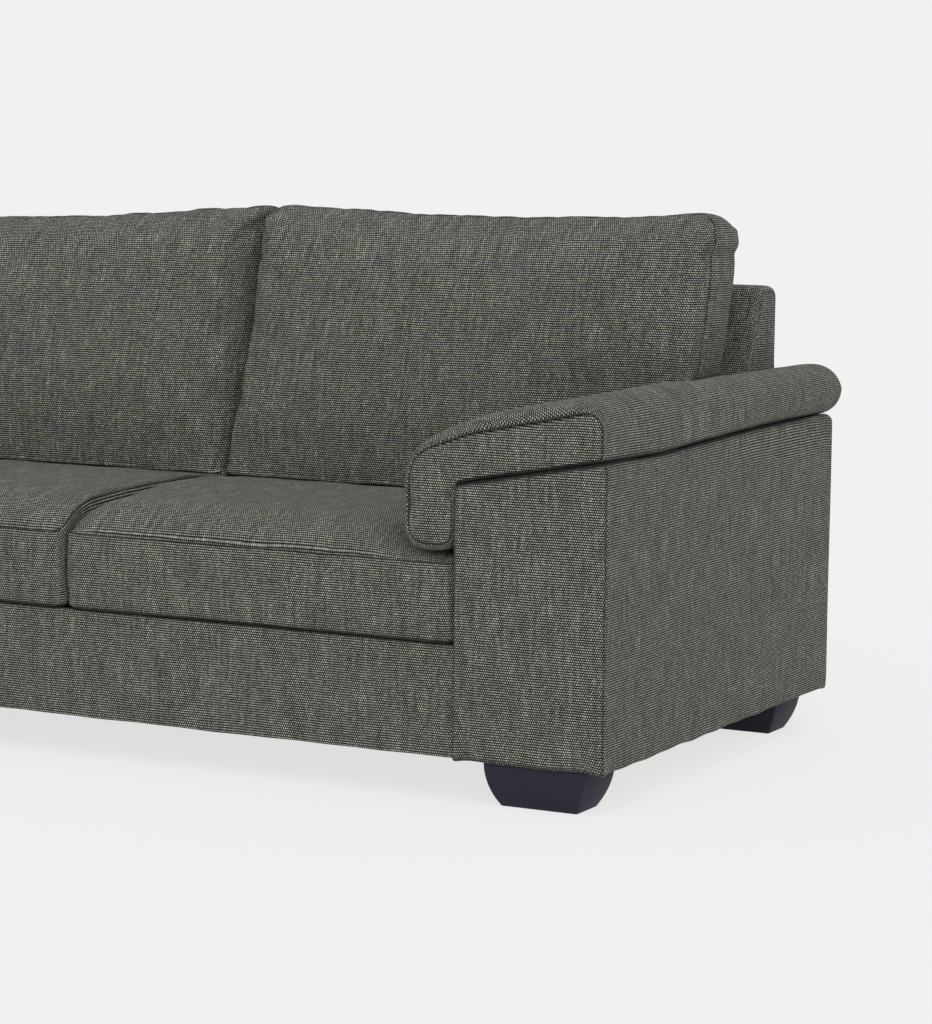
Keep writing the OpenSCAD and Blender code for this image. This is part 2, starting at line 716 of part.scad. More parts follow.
chaise_back_x0 = -chaise_x1;
module sofa_back_posts() { back_posts(sofa_x0, [middle_x]); }
module sofa_back_rails() { back_rails(sofa_x0, [middle_x]); }
module sofa_back_webbing() { back_webbing(sofa_x0, [middle_x]); }
module sofa_back_cover() { back_cover(sofa_x0); }
module sofa_outside_back() { outside_back(sofa_x0); }
module chaise_back_posts() { left() back_posts(chaise_back_x0, []); }
module chaise_back_rails() { left() back_rails(chaise_back_x0, []); }
module chaise_back_webbing() { left() back_webbing(chaise_back_x0, []); }
module chaise_back_cover() { left() back_cover(chaise_back_x0); }
module chaise_outside_back() { left() outside_back(chaise_back_x0); }

// Seat cushions: boxed, with drawn-in sides. The crown rises steeply behind the front, stays
// level to the free sides and is held down beside an arm pad, and the back cushions press it
// flat. pads holds how far an arm pad reaches over the left and the right side.
outline_step = 125;
pad_reach = pad_drop_t + pad_crown + soft_gap;
seat_foot_r = 13;
seam_pull = 1;
side_ramp_d = 150;
edge_ramp_d = 45;
heart_d = 265;
front_ease = 3.5;
function ramp(d, length, power = 2.2) = 1 - pow(1 - max(0, min(1, d / length)), power);
function hump(d) = pow(sin(90 * max(0, min(1, d / heart_d))), 2);
function seat_corners(x0, x1, y0, y1) =
    let (mx = (x0 + x1) / 2, my = (y0 + y1) / 2, r = seat_corner_r)
    [[x0, y0, r], [mx, y0 + side_draw, 2000], [x1, y0, r], [x1 - side_draw, my, 2000],
     [x1, y1, r / 2], [mx, y1 - 1, 2000], [x0, y1, r / 2], [x0 + side_draw, my, 2000]];

// Where the back cushions begin to press the crown flat, and how far it falls behind that
rest_in = 25;
seat_rest_y = cushion_foot_y - rest_in;
rear_fall = 0.65 * seat_heart;

function seat_lean(y, y0, z) =
    (z - deck_h) * tan(back_rake) * pow(max(0, y - y0) / (seat_rear_y - y0), 4);

module seat_body(x0, x1, y0, pads) {
    outline = stepped(rounded(seat_corners(x0, x1, y0, seat_rear_y)), outline_step);
    middle = [(x0 + x1) / 2, (y0 + seat_rear_y) / 2];
    half = [(x1 - x0) / 2, (seat_rear_y - y0) / 2];
    function inset_point(p, d) =
        [middle.x + (p.x - middle.x) * (1 - d / half.x),
         middle.y + (p.y - middle.y) * (1 - d / half.y)];
    // How freely the crown rises beside a pad, and all across where there is none
    function freedom(p) =
        (pads[0] > 0 ? ramp(p.x - x0 - pads[0], side_ramp_d) : 1)
        * (pads[1] > 0 ? ramp(x1 - pads[1] - p.x, side_ramp_d) : 1);
    function crown(p) =
        let (held = edge_rise * ramp(p.y - y0, edge_ramp_d),
             full = seat_crown * ramp(p.y - y0, seat_rise_d, front_ease)
                    + seat_heart * hump(p.y - y0) * hump(seat_rest_y - p.y)
                    - rear_fall * max(0, p.y - seat_rest_y) / (seat_rear_y - seat_rest_y))
        held + (max(full, held) - held) * freedom(p);
    function seam_rise(p) = max(0, crown(p) - side_seam_drop);
    function crown_z(p, d) =
        seam_z + seam_rise(p) + (crown(p) - seam_rise(p)) * ramp(d, edge_ramp_d);
    function boxing_z(p, share) = seat_z0 + share * (seam_z + seam_rise(p) - seat_z0);
    function lean(p, z) = [p.x, p.y + seat_lean(p.y, y0, z), z];
    deep = min(half.x, half.y);
    top_insets = [for (f = [0.03, 0.09, 0.18, 0.3, 0.48, 0.8]) f * deep];
    centre_z = crown_z(middle, deep);
    skin(concat(
            [[for (p = outline) lean(inset_point(p, seat_foot_r), seat_z0)],
             [for (p = outline) lean(inset_point(p, seam_pull), seat_z0 + seat_foot_r)],
             [for (p = outline) lean(p, boxing_z(p, 0.5))],
             [for (p = outline) lean(inset_point(p, seam_pull), boxing_z(p, 1))]],
            [for (d = top_insets)
                [for (p = outline) let (q = inset_point(p, d)) lean(q, crown_z(q, d))]]),
         [middle.x, middle.y, seat_z0], [middle.x, middle.y + seat_lean(middle.y, y0, centre_z),
                                         centre_z]);
}

// The foam core is a plain block inside the fibre wrap, under the crown
module seat_core(x0, x1, y0) {
    block([x0 + wrap_t, y0 + wrap_t, seat_z0 + wrap_t / 2],
          [x1 - wrap_t, seat_rear_y - wrap_t, seam_z - wrap_t / 4]);
}

module seat_cushion(x0, x1, y0, pads) {
    color(fabric)
        difference() {
            seat_body(x0, x1, y0, pads);
            seat_core(x0, x1, y0);
        }
}

gap = cushion_gap / 2;
arm_gap = 1;
right_seat = [middle_x + gap, arm_in - arm_gap];
middle_seat = [unit_x + gap, middle_x - gap];
chaise_seat = [-arm_in + arm_gap, unit_x - gap];
module right_seat_cushion() {
    seat_cushion(right_seat[0], right_seat[1], cushion_front_y, [0, pad_reach]);
}
module middle_seat_cushion() {
    seat_cushion(middle_seat[0], middle_seat[1], cushion_front_y, [0, 0]);
}
module chaise_seat_cushion() {
    seat_cushion(chaise_seat[0], chaise_seat[1], chaise_cushion_front_y, [pad_reach, 0]);
}
module right_seat_foam() {
    color(foam) seat_core(right_seat[0], right_seat[1], cushion_front_y);
}
module middle_seat_foam() {
    color(foam) seat_core(middle_seat[0], middle_seat[1], cushion_front_y);
}
module chaise_seat_foam() {
    color(foam) seat_core(chaise_seat[0], chaise_seat[1], chaise_cushion_front_y);
}

// Back cushions: a swollen front panel that wraps round the edges, a boxing behind it, and a
// rear that would swell further than the back frame, which presses it flat.
// The outer ones reach over the arm pad, and their underside follows its top.
rear_swell = 140;
wing_x = arm_out - cushion_wing_inset;
pad_room = [for (p = shifted(pad_corners, [for (p = pad_corners) -pad_crown - 2 * soft_gap],
                             -pad_crown - 2 * soft_gap)) p];
function on_line(a, b, x) = a.y + (b.y - a.y) * (x - a.x) / (b.x - a.x);

function square_back_corners(x0, x1) =
    let (mx = (x0 + x1) / 2, mz = (cushion_z0 + cushion_top) / 2, r = cushion_corner_r)
    [[x0, cushion_z0, r], [x1, cushion_z0, r], [x1 - side_draw, mz, 1500],
     [x1, cushion_top + ear_rise, r], [mx, cushion_top - slump / 2, 1500],
     [x0, cushion_top + ear_rise - slump, r], [x0 + side_draw, mz, 1500]];

function winged_back_corners(x0) =
    let (mx = (x0 + wing_x) / 2, mz = (cushion_z0 + cushion_top) / 2, r = cushion_corner_r,
         wing_z = on_line(pad_room[5], pad_room[4], wing_x))
    [[x0, cushion_z0, r], [pad_room[6].x, cushion_z0, r], pad_room[6],
     [pad_room[5].x, pad_room[5].y, 0], [wing_x, wing_z, 12],
     [wing_x - side_draw, (wing_z + cushion_top) / 2, 600],
     [wing_x, cushion_top + ear_rise / 2, r], [mx, cushion_top, 1500],
     [x0, cushion_top + ear_rise, r], [x0 + side_draw, mz, 1500]];

module back_body(corners, middle) {
    outline = stepped(rounded(corners), outline_step);
    x = [for (p = outline) p.x];
    half = [(max(x) - min(x)) / 2, (cushion_top - cushion_z0) / 2];
    // The outline shrunk to the share s, and rounder the smaller it gets, so that no ridge
    // runs from the corners to the middle
    function shrink(p, s) =
        let (v = p - middle, oval = v / norm([v.x / half.x, v.y / half.y]))
        middle + s * (s * v + (1 - s) * oval);
    // Front, boxing and rear of the point p, shrunk to the share s of the outline
    function front_point(p, s) =
        let (q = shrink(p, s))
        [q.x, cushion_face_y(q.y) + cushion_wrap * pow(s, 12) - front_crown * (1 - pow(s, 2.6)),
         q.y];
    function side_y(z, t) = cushion_face_y(z) + cushion_wrap + cushion_boxing * t;
    function side_point(p, t) = [p.x, side_y(p.y, t), p.y];
    function rear_point(p, s) =
        let (q = shrink(p, s), swell = rear_swell * (1 - pow(s, 2.4)))
        [q.x, min(side_y(q.y, 1) + swell, back_face_y(q.y) - soft_gap), q.y];
    skin(concat(
            [for (s = [0.4, 0.7, 0.92]) [for (p = outline) rear_point(p, s)]],
            [for (t = [1, 0.5, 0]) [for (p = outline) side_point(p, t)]],
            [for (s = [0.96, 0.86, 0.68, 0.4]) [for (p = outline) front_point(p, s)]]),
         rear_point(outline[0], 0), front_point(outline[0], 0));
}

// The foam core is a leaning slab, between the fibre layers
module back_core(x0, x1) {
    z0 = cushion_z0 + wrap_t;
    z1 = cushion_top - 2 * wrap_t;
    y_in = cushion_wrap / 2 + wrap_t / 4;
    run_x(x0 + 1.5 * wrap_t, x1 - 1.5 * wrap_t,
          [[cushion_face_y(z0) + y_in, z0], [cushion_face_y(z0) + y_in + back_core_t, z0],
           [cushion_face_y(z1) + y_in + back_core_t * 0.8, z1], [cushion_face_y(z1) + y_in, z1]]);
}

module back_cushion(corners, middle, x0, x1) {
    color(fabric)
        difference() {
            back_body(corners, middle);
            back_core(x0, x1);
        }
}

back_middle_z = (cushion_z0 + cushion_top) / 2;
function winged_middle(x0) = [x0 + 0.55 * (pad_in_x - x0), back_middle_z];
module winged_back_cushion(x0) {
    back_cushion(winged_back_corners(x0), winged_middle(x0), x0, pad_in_x);
}
module right_back_cushion() { winged_back_cushion(right_seat[0]); }
module middle_back_cushion() {
    back_cushion(square_back_corners(middle_seat[0], middle_seat[1]), [0, back_middle_z],
                 middle_seat[0], middle_seat[1]);
}
module chaise_back_cushion() { left() winged_back_cushion(-chaise_seat[1]); }
module right_back_foam() { color(foam) back_core(right_seat[0], pad_in_x); }
module middle_back_foam() { color(foam) back_core(middle_seat[0], middle_seat[1]); }
module chaise_back_foam() { left() color(foam) back_core(-chaise_seat[1], pad_in_x); }

sofa_front_rail();
sofa_seat_rear_rail();
sofa_rear_rail();
sofa_side_rails();
sofa_centre_rail();
sofa_seat_webbing();
sofa_deck();
sofa_front_border();
sofa_dust_cover();
sofa_feet();
chaise_front_rail();
chaise_seat_rear_rail();
chaise_rear_rail();
chaise_side_rails();
chaise_cross_rail();
chaise_seat_webbing();
chaise_deck();
chaise_border();
chaise_dust_cover();
chaise_feet();
foot_blocks();
foot_bolts();
unit_plates();
sofa_back_posts();
sofa_back_rails();
sofa_back_webbing();
sofa_back_cover();
sofa_outside_back();
chaise_back_posts();
chaise_back_rails();
chaise_back_webbing();
chaise_back_cover();
chaise_outside_back();
right_arm_base_board();
right_arm_front_board();
right_arm_rear_board();
right_arm_top_board();
right_arm_cover();
right_arm_pad();
left_arm_base_board();
left_arm_front_board();
left_arm_rear_board();
left_arm_top_board();
left_arm_cover();
left_arm_pad();
right_seat_cushion();
middle_seat_cushion();
chaise_seat_cushion();
right_seat_foam();
middle_seat_foam();
chaise_seat_foam();
right_back_cushion();
middle_back_cushion();
chaise_back_cushion();
right_back_foam();
middle_back_foam();
chaise_back_foam();
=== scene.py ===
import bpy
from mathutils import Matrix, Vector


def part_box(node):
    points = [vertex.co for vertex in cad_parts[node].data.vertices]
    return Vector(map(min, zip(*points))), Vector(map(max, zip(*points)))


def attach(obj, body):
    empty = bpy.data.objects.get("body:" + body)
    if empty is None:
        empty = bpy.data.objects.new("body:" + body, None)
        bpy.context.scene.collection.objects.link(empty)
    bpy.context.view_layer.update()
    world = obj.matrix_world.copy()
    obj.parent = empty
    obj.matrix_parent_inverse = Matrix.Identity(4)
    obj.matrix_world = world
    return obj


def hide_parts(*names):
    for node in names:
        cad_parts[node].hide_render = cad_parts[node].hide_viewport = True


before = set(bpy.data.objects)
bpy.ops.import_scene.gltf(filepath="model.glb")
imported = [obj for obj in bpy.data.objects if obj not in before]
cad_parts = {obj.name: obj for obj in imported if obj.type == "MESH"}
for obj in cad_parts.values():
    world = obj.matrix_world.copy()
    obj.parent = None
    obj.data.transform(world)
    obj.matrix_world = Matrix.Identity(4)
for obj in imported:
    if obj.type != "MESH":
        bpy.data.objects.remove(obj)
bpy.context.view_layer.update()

import copy

import bmesh
import bpy
import numpy as np
from mathutils import Euler

# Timber frame of the seats
# Softwood rails on edge, glued and stapled into a box for each unit, with beech blocks in the
# corners over the seat feet. The wood is sawn and left bare, because the covers hide it.


def new_material(name):
    """An empty node material; returns it, its tree and its Principled shader."""
    material = bpy.data.materials.new(name)
    material.use_nodes = True
    return material, material.node_tree, material.node_tree.nodes["Principled BSDF"]


def node(tree, kind, **settings):
    """A new shader node with some of its settings."""
    made = tree.nodes.new("ShaderNode" + kind)
    for setting, value in settings.items():
        setattr(made, setting, value)
    return made


def plug(tree, value, socket):
    """Links a socket, or writes a plain value."""
    if isinstance(value, bpy.types.NodeSocket):
        tree.links.new(value, socket)
    else:
        socket.default_value = value


def maths(tree, operation, *values):
    """One step of arithmetic on sockets or numbers."""
    made = node(tree, "Math", operation=operation)
    for value, socket in zip(values, made.inputs):
        plug(tree, value, socket)
    return made.outputs[0]


def grain(tree, vector, scale, stretch, detail=3.0):
    """Noise drawn out along one or more axes, from 0 to 1."""
    mapping = node(tree, "Mapping")
    plug(tree, vector, mapping.inputs["Vector"])
    mapping.inputs["Scale"].default_value = stretch
    noise = node(tree, "TexNoise")
    plug(tree, mapping.outputs[0], noise.inputs["Vector"])
    noise.inputs["Scale"].default_value = scale
    noise.inputs["Detail"].default_value = detail
    return noise.outputs[0]


def ramp(tree, value, *stops):
    """A colour that runs through (place, colour) stops."""
    made = node(tree, "ValToRGB")
    plug(tree, value, made.inputs[0])
    elements = made.color_ramp.elements
    while len(elements) < len(stops):
        elements.new(0.5)
    for element, (place, colour) in zip(elements, stops):
        element.position = place
        element.color = (*colour, 1.0)
    return made.outputs[0]


def relief(tree, shader, height, distance):
    """Bumps of this height under a shader, in metres."""
    bump = node(tree, "Bump")
    bump.inputs["Strength"].default_value = 1.0
    bump.inputs["Distance"].default_value = distance
    plug(tree, height, bump.inputs["Height"])
    plug(tree, bump.outputs[0], shader.inputs["Normal"])


def timber(name, stretch, pale, dark):
    """Sawn wood, its grain along the axis that stretch leaves small."""
    material, tree, shader = new_material(name)
    place = node(tree, "TexCoord").outputs["Object"]
    fibres = grain(tree, place, 40.0, stretch, 6.0)
    rings = grain(tree, place, 9.0, stretch, 2.0)
    mixed = maths(tree, "MULTIPLY_ADD", fibres, 0.45, maths(tree, "MULTIPLY", rings, 0.55))
    plug(tree, ramp(tree, mixed, (0.30, dark), (0.55, pale), (0.75, pale)),
         shader.inputs["Base Color"])
    shader.inputs["Roughness"].default_value = 0.75
    relief(tree, shader, fibres, 0.0008)
    return material


def finish_nodes(material, *names):
    """Gives CAD nodes their finish."""
    for name in names:
        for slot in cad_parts[name].material_slots:
            slot.material = material


pine_pale, pine_dark = (0.62, 0.43, 0.24), (0.44, 0.27, 0.13)
finish_nodes(timber("pine_along_x", (0.06, 1.0, 1.0), pine_pale, pine_dark),
             "sofa_front_rail", "sofa_seat_rear_rail", "sofa_rear_rail", "chaise_front_rail",
             "chaise_seat_rear_rail", "chaise_rear_rail", "chaise_cross_rail",
             "sofa_back_rails", "chaise_back_rails")
finish_nodes(timber("pine_along_y", (1.0, 0.06, 1.0), pine_pale, pine_dark),
             "sofa_side_rails", "sofa_centre_rail", "chaise_side_rails")
finish_nodes(timber("beech", (0.15, 0.6, 1.0), (0.60, 0.40, 0.25), (0.48, 0.29, 0.17)),
             "foot_blocks")

# Feet, bolts and plates
# Solid wood blocks that swell to the top on all four sides, painted a satin charcoal with a
# hint of blue. A zinc-plated bolt runs up from each into the frame.
mm = 0.001
ROOT = "sofa"
FOOT_EDGE_R = 3 * mm
FOOT_FLARE = 23 * mm
FOOT_CREASE_ANGLE = 1.2
FOOT_LAYERS = 14
FOOT_CORNER_STEPS = 4


def add_piece(name, points, faces, material, body=ROOT, slot=None, replaced=(), cloth_map=None,
              painted_shade=None):
    """A mesh piece in the sofa's frame, smooth, riding on its body."""
    mesh = bpy.data.meshes.new(name)
    mesh.from_pydata([tuple(p) for p in points], [], [tuple(f) for f in faces])
    if cloth_map is not None:
        layer = mesh.uv_layers.new(name="cloth")
        layer.uv.foreach_set("vector", np.asarray(cloth_map, np.float32).ravel())
    # a point attribute carries the painted shade along seams and creases
    if painted_shade is not None:
        creased = mesh.attributes.new("painted_shade", "FLOAT", "POINT")
        creased.data.foreach_set("value", np.asarray(painted_shade, np.float32))
    mesh.polygons.foreach_set("use_smooth", [True] * len(mesh.polygons))
    made = bmesh.new()
    made.from_mesh(mesh)
    bmesh.ops.recalc_face_normals(made, faces=made.faces)
    made.to_mesh(mesh)
    made.free()
    mesh.materials.append(material)
    piece = bpy.data.objects.new(name, mesh)
    bpy.context.scene.collection.objects.link(piece)
    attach(piece, body)
    if replaced:
        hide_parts(*replaced)
    return piece


def painted_wood():
    material, tree, shader = new_material("foot_paint")
    place = node(tree, "TexCoord").outputs["Object"]
    clouds = grain(tree, place, 14.0, (1.0, 1.0, 2.0), 4.0)
    pores = grain(tree, place, 60.0, (0.12, 0.12, 1.0), 4.0)
    plug(tree, ramp(tree, clouds, (0.3, (0.026, 0.024, 0.038)), (0.7, (0.033, 0.030, 0.048))),
         shader.inputs["Base Color"])
    plug(tree, maths(tree, "MULTIPLY_ADD", clouds, 0.16, 0.50), shader.inputs["Roughness"])
    shader.inputs["Specular IOR Level"].default_value = 0.12
    relief(tree, shader, pores, 0.00025)
    return material


def foot_layer(half_x, half_y, z):
    """A rectangle with rounded corners at one height."""
    arc = np.linspace(0, np.pi / 2, FOOT_CORNER_STEPS)
    r = FOOT_EDGE_R
    return [(sx * (half_x - r) + r * np.cos(a), sy * (half_y - r) + r * np.sin(a), z)
            for sx, sy, start in ((1, 1, 0), (-1, 1, 1), (-1, -1, 2), (1, -1, 3))
            for a in arc + start * np.pi / 2]


def foot_mesh(centre, top_half_x, top_half_y, height, flare):
    """One foot: layers whose sides follow an arc that stands upright at the top."""
    arc_r = (height ** 2 + flare ** 2) / (2 * flare)
    rise = np.linspace(0, 1, FOOT_LAYERS) * (height - 2 * FOOT_EDGE_R) + FOOT_EDGE_R
    drawn_in = [arc_r - np.sqrt(arc_r ** 2 - (height - z) ** 2) for z in rise]
    edge = 0.6 * FOOT_EDGE_R
    layers = ([foot_layer(top_half_x - drawn_in[0] - edge, top_half_y - drawn_in[0] - edge, 0)]
              + [foot_layer(top_half_x - d, top_half_y - d, z) for d, z in zip(drawn_in, rise)]
              + [foot_layer(top_half_x - edge, top_half_y - edge, height)])
    count = len(layers[0])
    points = [(centre[0] + x, centre[1] + y, z) for layer in layers for x, y, z in layer]
    faces = [(j * count + i, j * count + (i + 1) % count, (j + 1) * count + (i + 1) % count,
              (j + 1) * count + i) for j in range(len(layers) - 1) for i in range(count)]
    faces += [tuple(range(count)), tuple((len(layers) - 1) * count + i for i in range(count))]
    return points, faces


def islands(name):
    """Boxes (low, high) of the separate solids in a CAD node."""
    made = bmesh.new()
    made.from_mesh(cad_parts[name].data)
    bmesh.ops.remove_doubles(made, verts=made.verts, dist=1e-6)
    left, boxes = set(made.verts), []
    while left:
        front = [left.pop()]
        group = list(front)
        while front:
            at = front.pop()
            fresh = [v for v in (e.other_vert(at) for e in at.link_edges) if v in left]
            left.difference_update(fresh)
            front += fresh
            group += fresh
        places = np.array([v.co for v in group])
        boxes.append((places.min(0), places.max(0)))
    made.free()
    return sorted(boxes, key=lambda b: tuple(np.round(b[0], 3)))


foot_paint = painted_wood()
for group in ("sofa_feet", "chaise_feet"):
    points, faces = [], []
    for low, high in islands(group):
        more = foot_mesh((low + high) / 2, (high[0] - low[0]) / 2, (high[1] - low[1]) / 2,
                         high[2] - low[2], FOOT_FLARE)
        faces += [tuple(i + len(points) for i in f) for f in more[1]]
        points += more[0]
    feet = add_piece(group.replace("feet", "painted_feet"), points, faces, foot_paint,
                     slot="foot_finish", replaced=[group])
    creased = feet.modifiers.new("creases", "EDGE_SPLIT")
    creased.split_angle = FOOT_CREASE_ANGLE


def zinc_steel():
    material, tree, shader = new_material("zinc_steel")
    place = node(tree, "TexCoord").outputs["Object"]
    spangle = grain(tree, place, 160.0, (1.0, 1.0, 1.0), 2.0)
    plug(tree, ramp(tree, spangle, (0.35, (0.42, 0.43, 0.45)), (0.7, (0.60, 0.61, 0.62))),
         shader.inputs["Base Color"])
    shader.inputs["Metallic"].default_value = 1.0
    plug(tree, maths(tree, "MULTIPLY_ADD", spangle, 0.25, 0.25), shader.inputs["Roughness"])
    return material


finish_nodes(zinc_steel(), "foot_bolts", "unit_plates")

# Webbing, foam and black cloth
# Elastic webbing stapled across the seats and the back, cold-foam cores for the loose
# cushions, and black spun-bonded cloth under the seat.


def woven_strap():
    material, tree, shader = new_material("elastic_webbing")
    place = node(tree, "TexCoord").outputs["Object"]
    ribs = node(tree, "TexWave", wave_type="BANDS", bands_direction="X")
    plug(tree, place, ribs.inputs["Vector"])
    ribs.inputs["Scale"].default_value = 110.0
    across = node(tree, "TexWave", wave_type="BANDS", bands_direction="Y")
    plug(tree, place, across.inputs["Vector"])
    across.inputs["Scale"].default_value = 110.0
    woven = maths(tree, "MULTIPLY", ribs.outputs["Fac"], across.outputs["Fac"])
    plug(tree, ramp(tree, woven, (0.0, (0.02, 0.02, 0.018)), (1.0, (0.16, 0.15, 0.13))),
         shader.inputs["Base Color"])
    shader.inputs["Roughness"].default_value = 0.85
    relief(tree, shader, woven, 0.0006)
    return material


def cut_foam():
    material, tree, shader = new_material("cold_foam")
    place = node(tree, "TexCoord").outputs["Object"]
    cells = node(tree, "TexVoronoi")
    plug(tree, place, cells.inputs["Vector"])
    cells.inputs["Scale"].default_value = 700.0
    plug(tree, ramp(tree, cells.outputs["Distance"], (0.0, (0.60, 0.50, 0.30)),
                    (0.5, (0.86, 0.79, 0.58))), shader.inputs["Base Color"])
    shader.inputs["Roughness"].default_value = 0.95
    relief(tree, shader, cells.outputs["Distance"], 0.0005)
    return material


def black_cloth():
    material, tree, shader = new_material("black_cloth")
    place = node(tree, "TexCoord").outputs["Object"]
    dimples = node(tree, "TexVoronoi")
    plug(tree, place, dimples.inputs["Vector"])
    dimples.inputs["Scale"].default_value = 420.0
    fibres = grain(tree, place, 180.0, (1.0, 0.3, 1.0), 3.0)
    plug(tree, ramp(tree, fibres, (0.3, (0.010, 0.010, 0.011)), (0.7, (0.035, 0.035, 0.037))),
         shader.inputs["Base Color"])
    shader.inputs["Roughness"].default_value = 0.9
    relief(tree, shader, dimples.outputs["Distance"], 0.0004)
    return material


finish_nodes(woven_strap(), "sofa_seat_webbing", "chaise_seat_webbing", "sofa_back_webbing",
             "chaise_back_webbing")
finish_nodes(cut_foam(), "right_seat_foam", "middle_seat_foam", "chaise_seat_foam",
             "right_back_foam", "middle_back_foam", "chaise_back_foam")
finish_nodes(black_cloth(), "sofa_dust_cover", "chaise_dust_cover")

# Arm covers
# Padded cloth pulled over each arm's boards: a band over the inside, top and outside, sewn to
# a front and a rear panel, with the hem folded under the base board and stapled there.
YARN_PITCH = 4.05 * mm
ROW_PITCH = 4.2 * mm


def upholstery():
    """Coarse plain weave of slubby melange yarn, drawn in the cloth map's metres."""
    material, tree, shader = new_material("melange_weave")
    cloth = node(tree, "UVMap", uv_map="cloth").outputs[0]
    split = node(tree, "SeparateXYZ")
    plug(tree, cloth, split.inputs[0])
    drift = grain(tree, cloth, 9.0, (1.0, 1.0, 1.0), 2.0)
    u = maths(tree, "MULTIPLY", split.outputs[0], 1 / YARN_PITCH)
    v = maths(tree, "MULTIPLY_ADD", split.outputs[1], 1 / ROW_PITCH,
              maths(tree, "MULTIPLY", drift, 0.8))
    row = maths(tree, "FLOOR", v)
    across = maths(tree, "SUBTRACT", maths(tree, "FRACT", v), 0.5)
    along_yarn = maths(tree, "MULTIPLY_ADD", row, 0.5, u)
    pick = maths(tree, "FLOOR", along_yarn)
    along = maths(tree, "SUBTRACT", maths(tree, "FRACT", along_yarn), 0.5)
    cell = node(tree, "CombineXYZ")
    plug(tree, pick, cell.inputs[0])
    plug(tree, row, cell.inputs[1])
    dye = node(tree, "TexWhiteNoise", noise_dimensions="2D")
    plug(tree, cell.outputs[0], dye.inputs["Vector"])
    hue = node(tree, "SeparateColor")
    plug(tree, dye.outputs["Color"], hue.inputs[0])
    # each float of yarn is an oval, its size a little different from the next one's
    plump = maths(tree, "MULTIPLY_ADD", hue.outputs[2], -0.7, 3.1)
    oval = maths(tree, "ADD",
                 maths(tree, "POWER", maths(tree, "MULTIPLY", across, plump), 2.0),
                 maths(tree, "POWER", maths(tree, "MULTIPLY", along, 2.5), 2.0))
    thread = maths(tree, "MAXIMUM", maths(tree, "SUBTRACT", 1.0, oval), 0.0)
    slub = grain(tree, cloth, 1.0, (150.0, 14.0, 1.0), 2.0)
    cloud = grain(tree, cloth, 1.0, (22.0, 14.0, 1.0), 3.0)
    light = maths(tree, "MULTIPLY_ADD", dye.outputs["Value"], 0.55, 0.2)
    light = maths(tree, "ADD", light, maths(tree, "MULTIPLY_ADD", slub, 1.3, -0.65))
    light = maths(tree, "ADD", light, maths(tree, "MULTIPLY_ADD", cloud, 0.5, -0.25))
    yarn = ramp(tree, light, (0.0, (0.255, 0.267, 0.232)), (0.4, (0.420, 0.437, 0.382)),
                (0.75, (0.590, 0.608, 0.540)), (1.0, (0.88, 0.88, 0.79)))
    warm = ramp(tree, hue.outputs[0], (0.0, (0.94, 1.0, 1.06)), (0.5, (1.0, 1.0, 1.0)),
                (1.0, (1.05, 1.01, 0.91)))
    tinted = node(tree, "Mix", data_type="RGBA", blend_type="MULTIPLY")
    tinted.inputs["Factor"].default_value = 1.0
    plug(tree, yarn, tinted.inputs[6])
    plug(tree, warm, tinted.inputs[7])
    # painted shade: between the yarn floats the colour falls to near black
    shade = node(tree, "Mix", data_type="RGBA")
    plug(tree, maths(tree, "POWER", thread, 0.6), shade.inputs["Factor"])
    shade.inputs[6].default_value = (0.010, 0.011, 0.009, 1.0)
    plug(tree, tinted.outputs[2], shade.inputs[7])
    # painted shade: along seams and in creases the colour is darkened to near black, where shade
    # falls in the grooves
    painted_shade = node(tree, "Attribute", attribute_name="painted_shade").outputs["Fac"]
    creased = node(tree, "Mix", data_type="RGBA")
    plug(tree, maths(tree, "MULTIPLY", maths(tree, "POWER", painted_shade, 0.7), 0.9),
         creased.inputs["Factor"])
    plug(tree, shade.outputs[2], creased.inputs[6])
    creased.inputs[7].default_value = (0.006, 0.006, 0.006, 1.0)
    plug(tree, creased.outputs[2], shader.inputs["Base Color"])
    shader.inputs["Roughness"].default_value = 0.95
    shader.inputs["Specular IOR Level"].default_value = 0.12
    shader.inputs["Sheen Weight"].default_value = 0.04
    shader.inputs["Sheen Roughness"].default_value = 0.5
    relief(tree, shader, maths(tree, "MULTIPLY_ADD", slub, 0.4, thread), 0.0009)
    return material


weave = upholstery()


def unit(v):
    return v / np.linalg.norm(v, axis=-1, keepdims=True)


def rounded(corners, step=1.5 * mm):
    """Close points along an outline of (a, b, radius) corners, and where each corner's middle
    lies among them."""
    at = np.array([c[:2] for c in corners], float)
    points, marks = [], []
    for k, (a, b, r) in enumerate(corners):
        back, ahead = unit(at[k - 1] - at[k]), unit(at[(k + 1) % len(at)] - at[k])
        half = np.arccos(np.clip(back @ ahead, -1, 1)) / 2
        if r <= 0:
            marks.append(len(points))
            points.append(at[k])
            continue
        middle = at[k] + unit(back + ahead) * r / np.sin(half)
        start, end = at[k] + back * r / np.tan(half), at[k] + ahead * r / np.tan(half)
        first = np.arctan2(*(start - middle)[::-1])
        turn = (np.arctan2(*(end - middle)[::-1]) - first + np.pi) % (2 * np.pi) - np.pi
        count = max(4, int(abs(turn) * r / step)) // 2 * 2
        angles = first + turn * np.arange(count + 1) / count
        marks.append(len(points) + count // 2)
        points += list(middle + r * np.stack([np.cos(angles), np.sin(angles)], 1))
    return np.array(points), marks


def spread(length, edge, middle, growth=1.5):
    """Places from 0 to 1 along a side of this length, closest at its ends, where it is sewn."""
    if length < 4 * edge:
        return np.array([0.0, 1.0])
    steps = [edge]
    while steps[-1] * growth < middle and 2 * (sum(steps) + steps[-1] * growth) < length:
        steps.append(steps[-1] * growth)
    ends = np.concatenate([[0], np.cumsum(steps)])
    count = max(1, round((length - 2 * ends[-1]) / middle))
    between = np.linspace(ends[-1], length - ends[-1], count + 1)[1:-1]
    return np.concatenate([ends, between, length - ends[::-1]]) / length


def path_between(points, start, end):
    """The outline from one of its points on to another, past its end if need be."""
    if end <= start:
        end += len(points)
    return points[np.arange(start, end + 1) % len(points)]


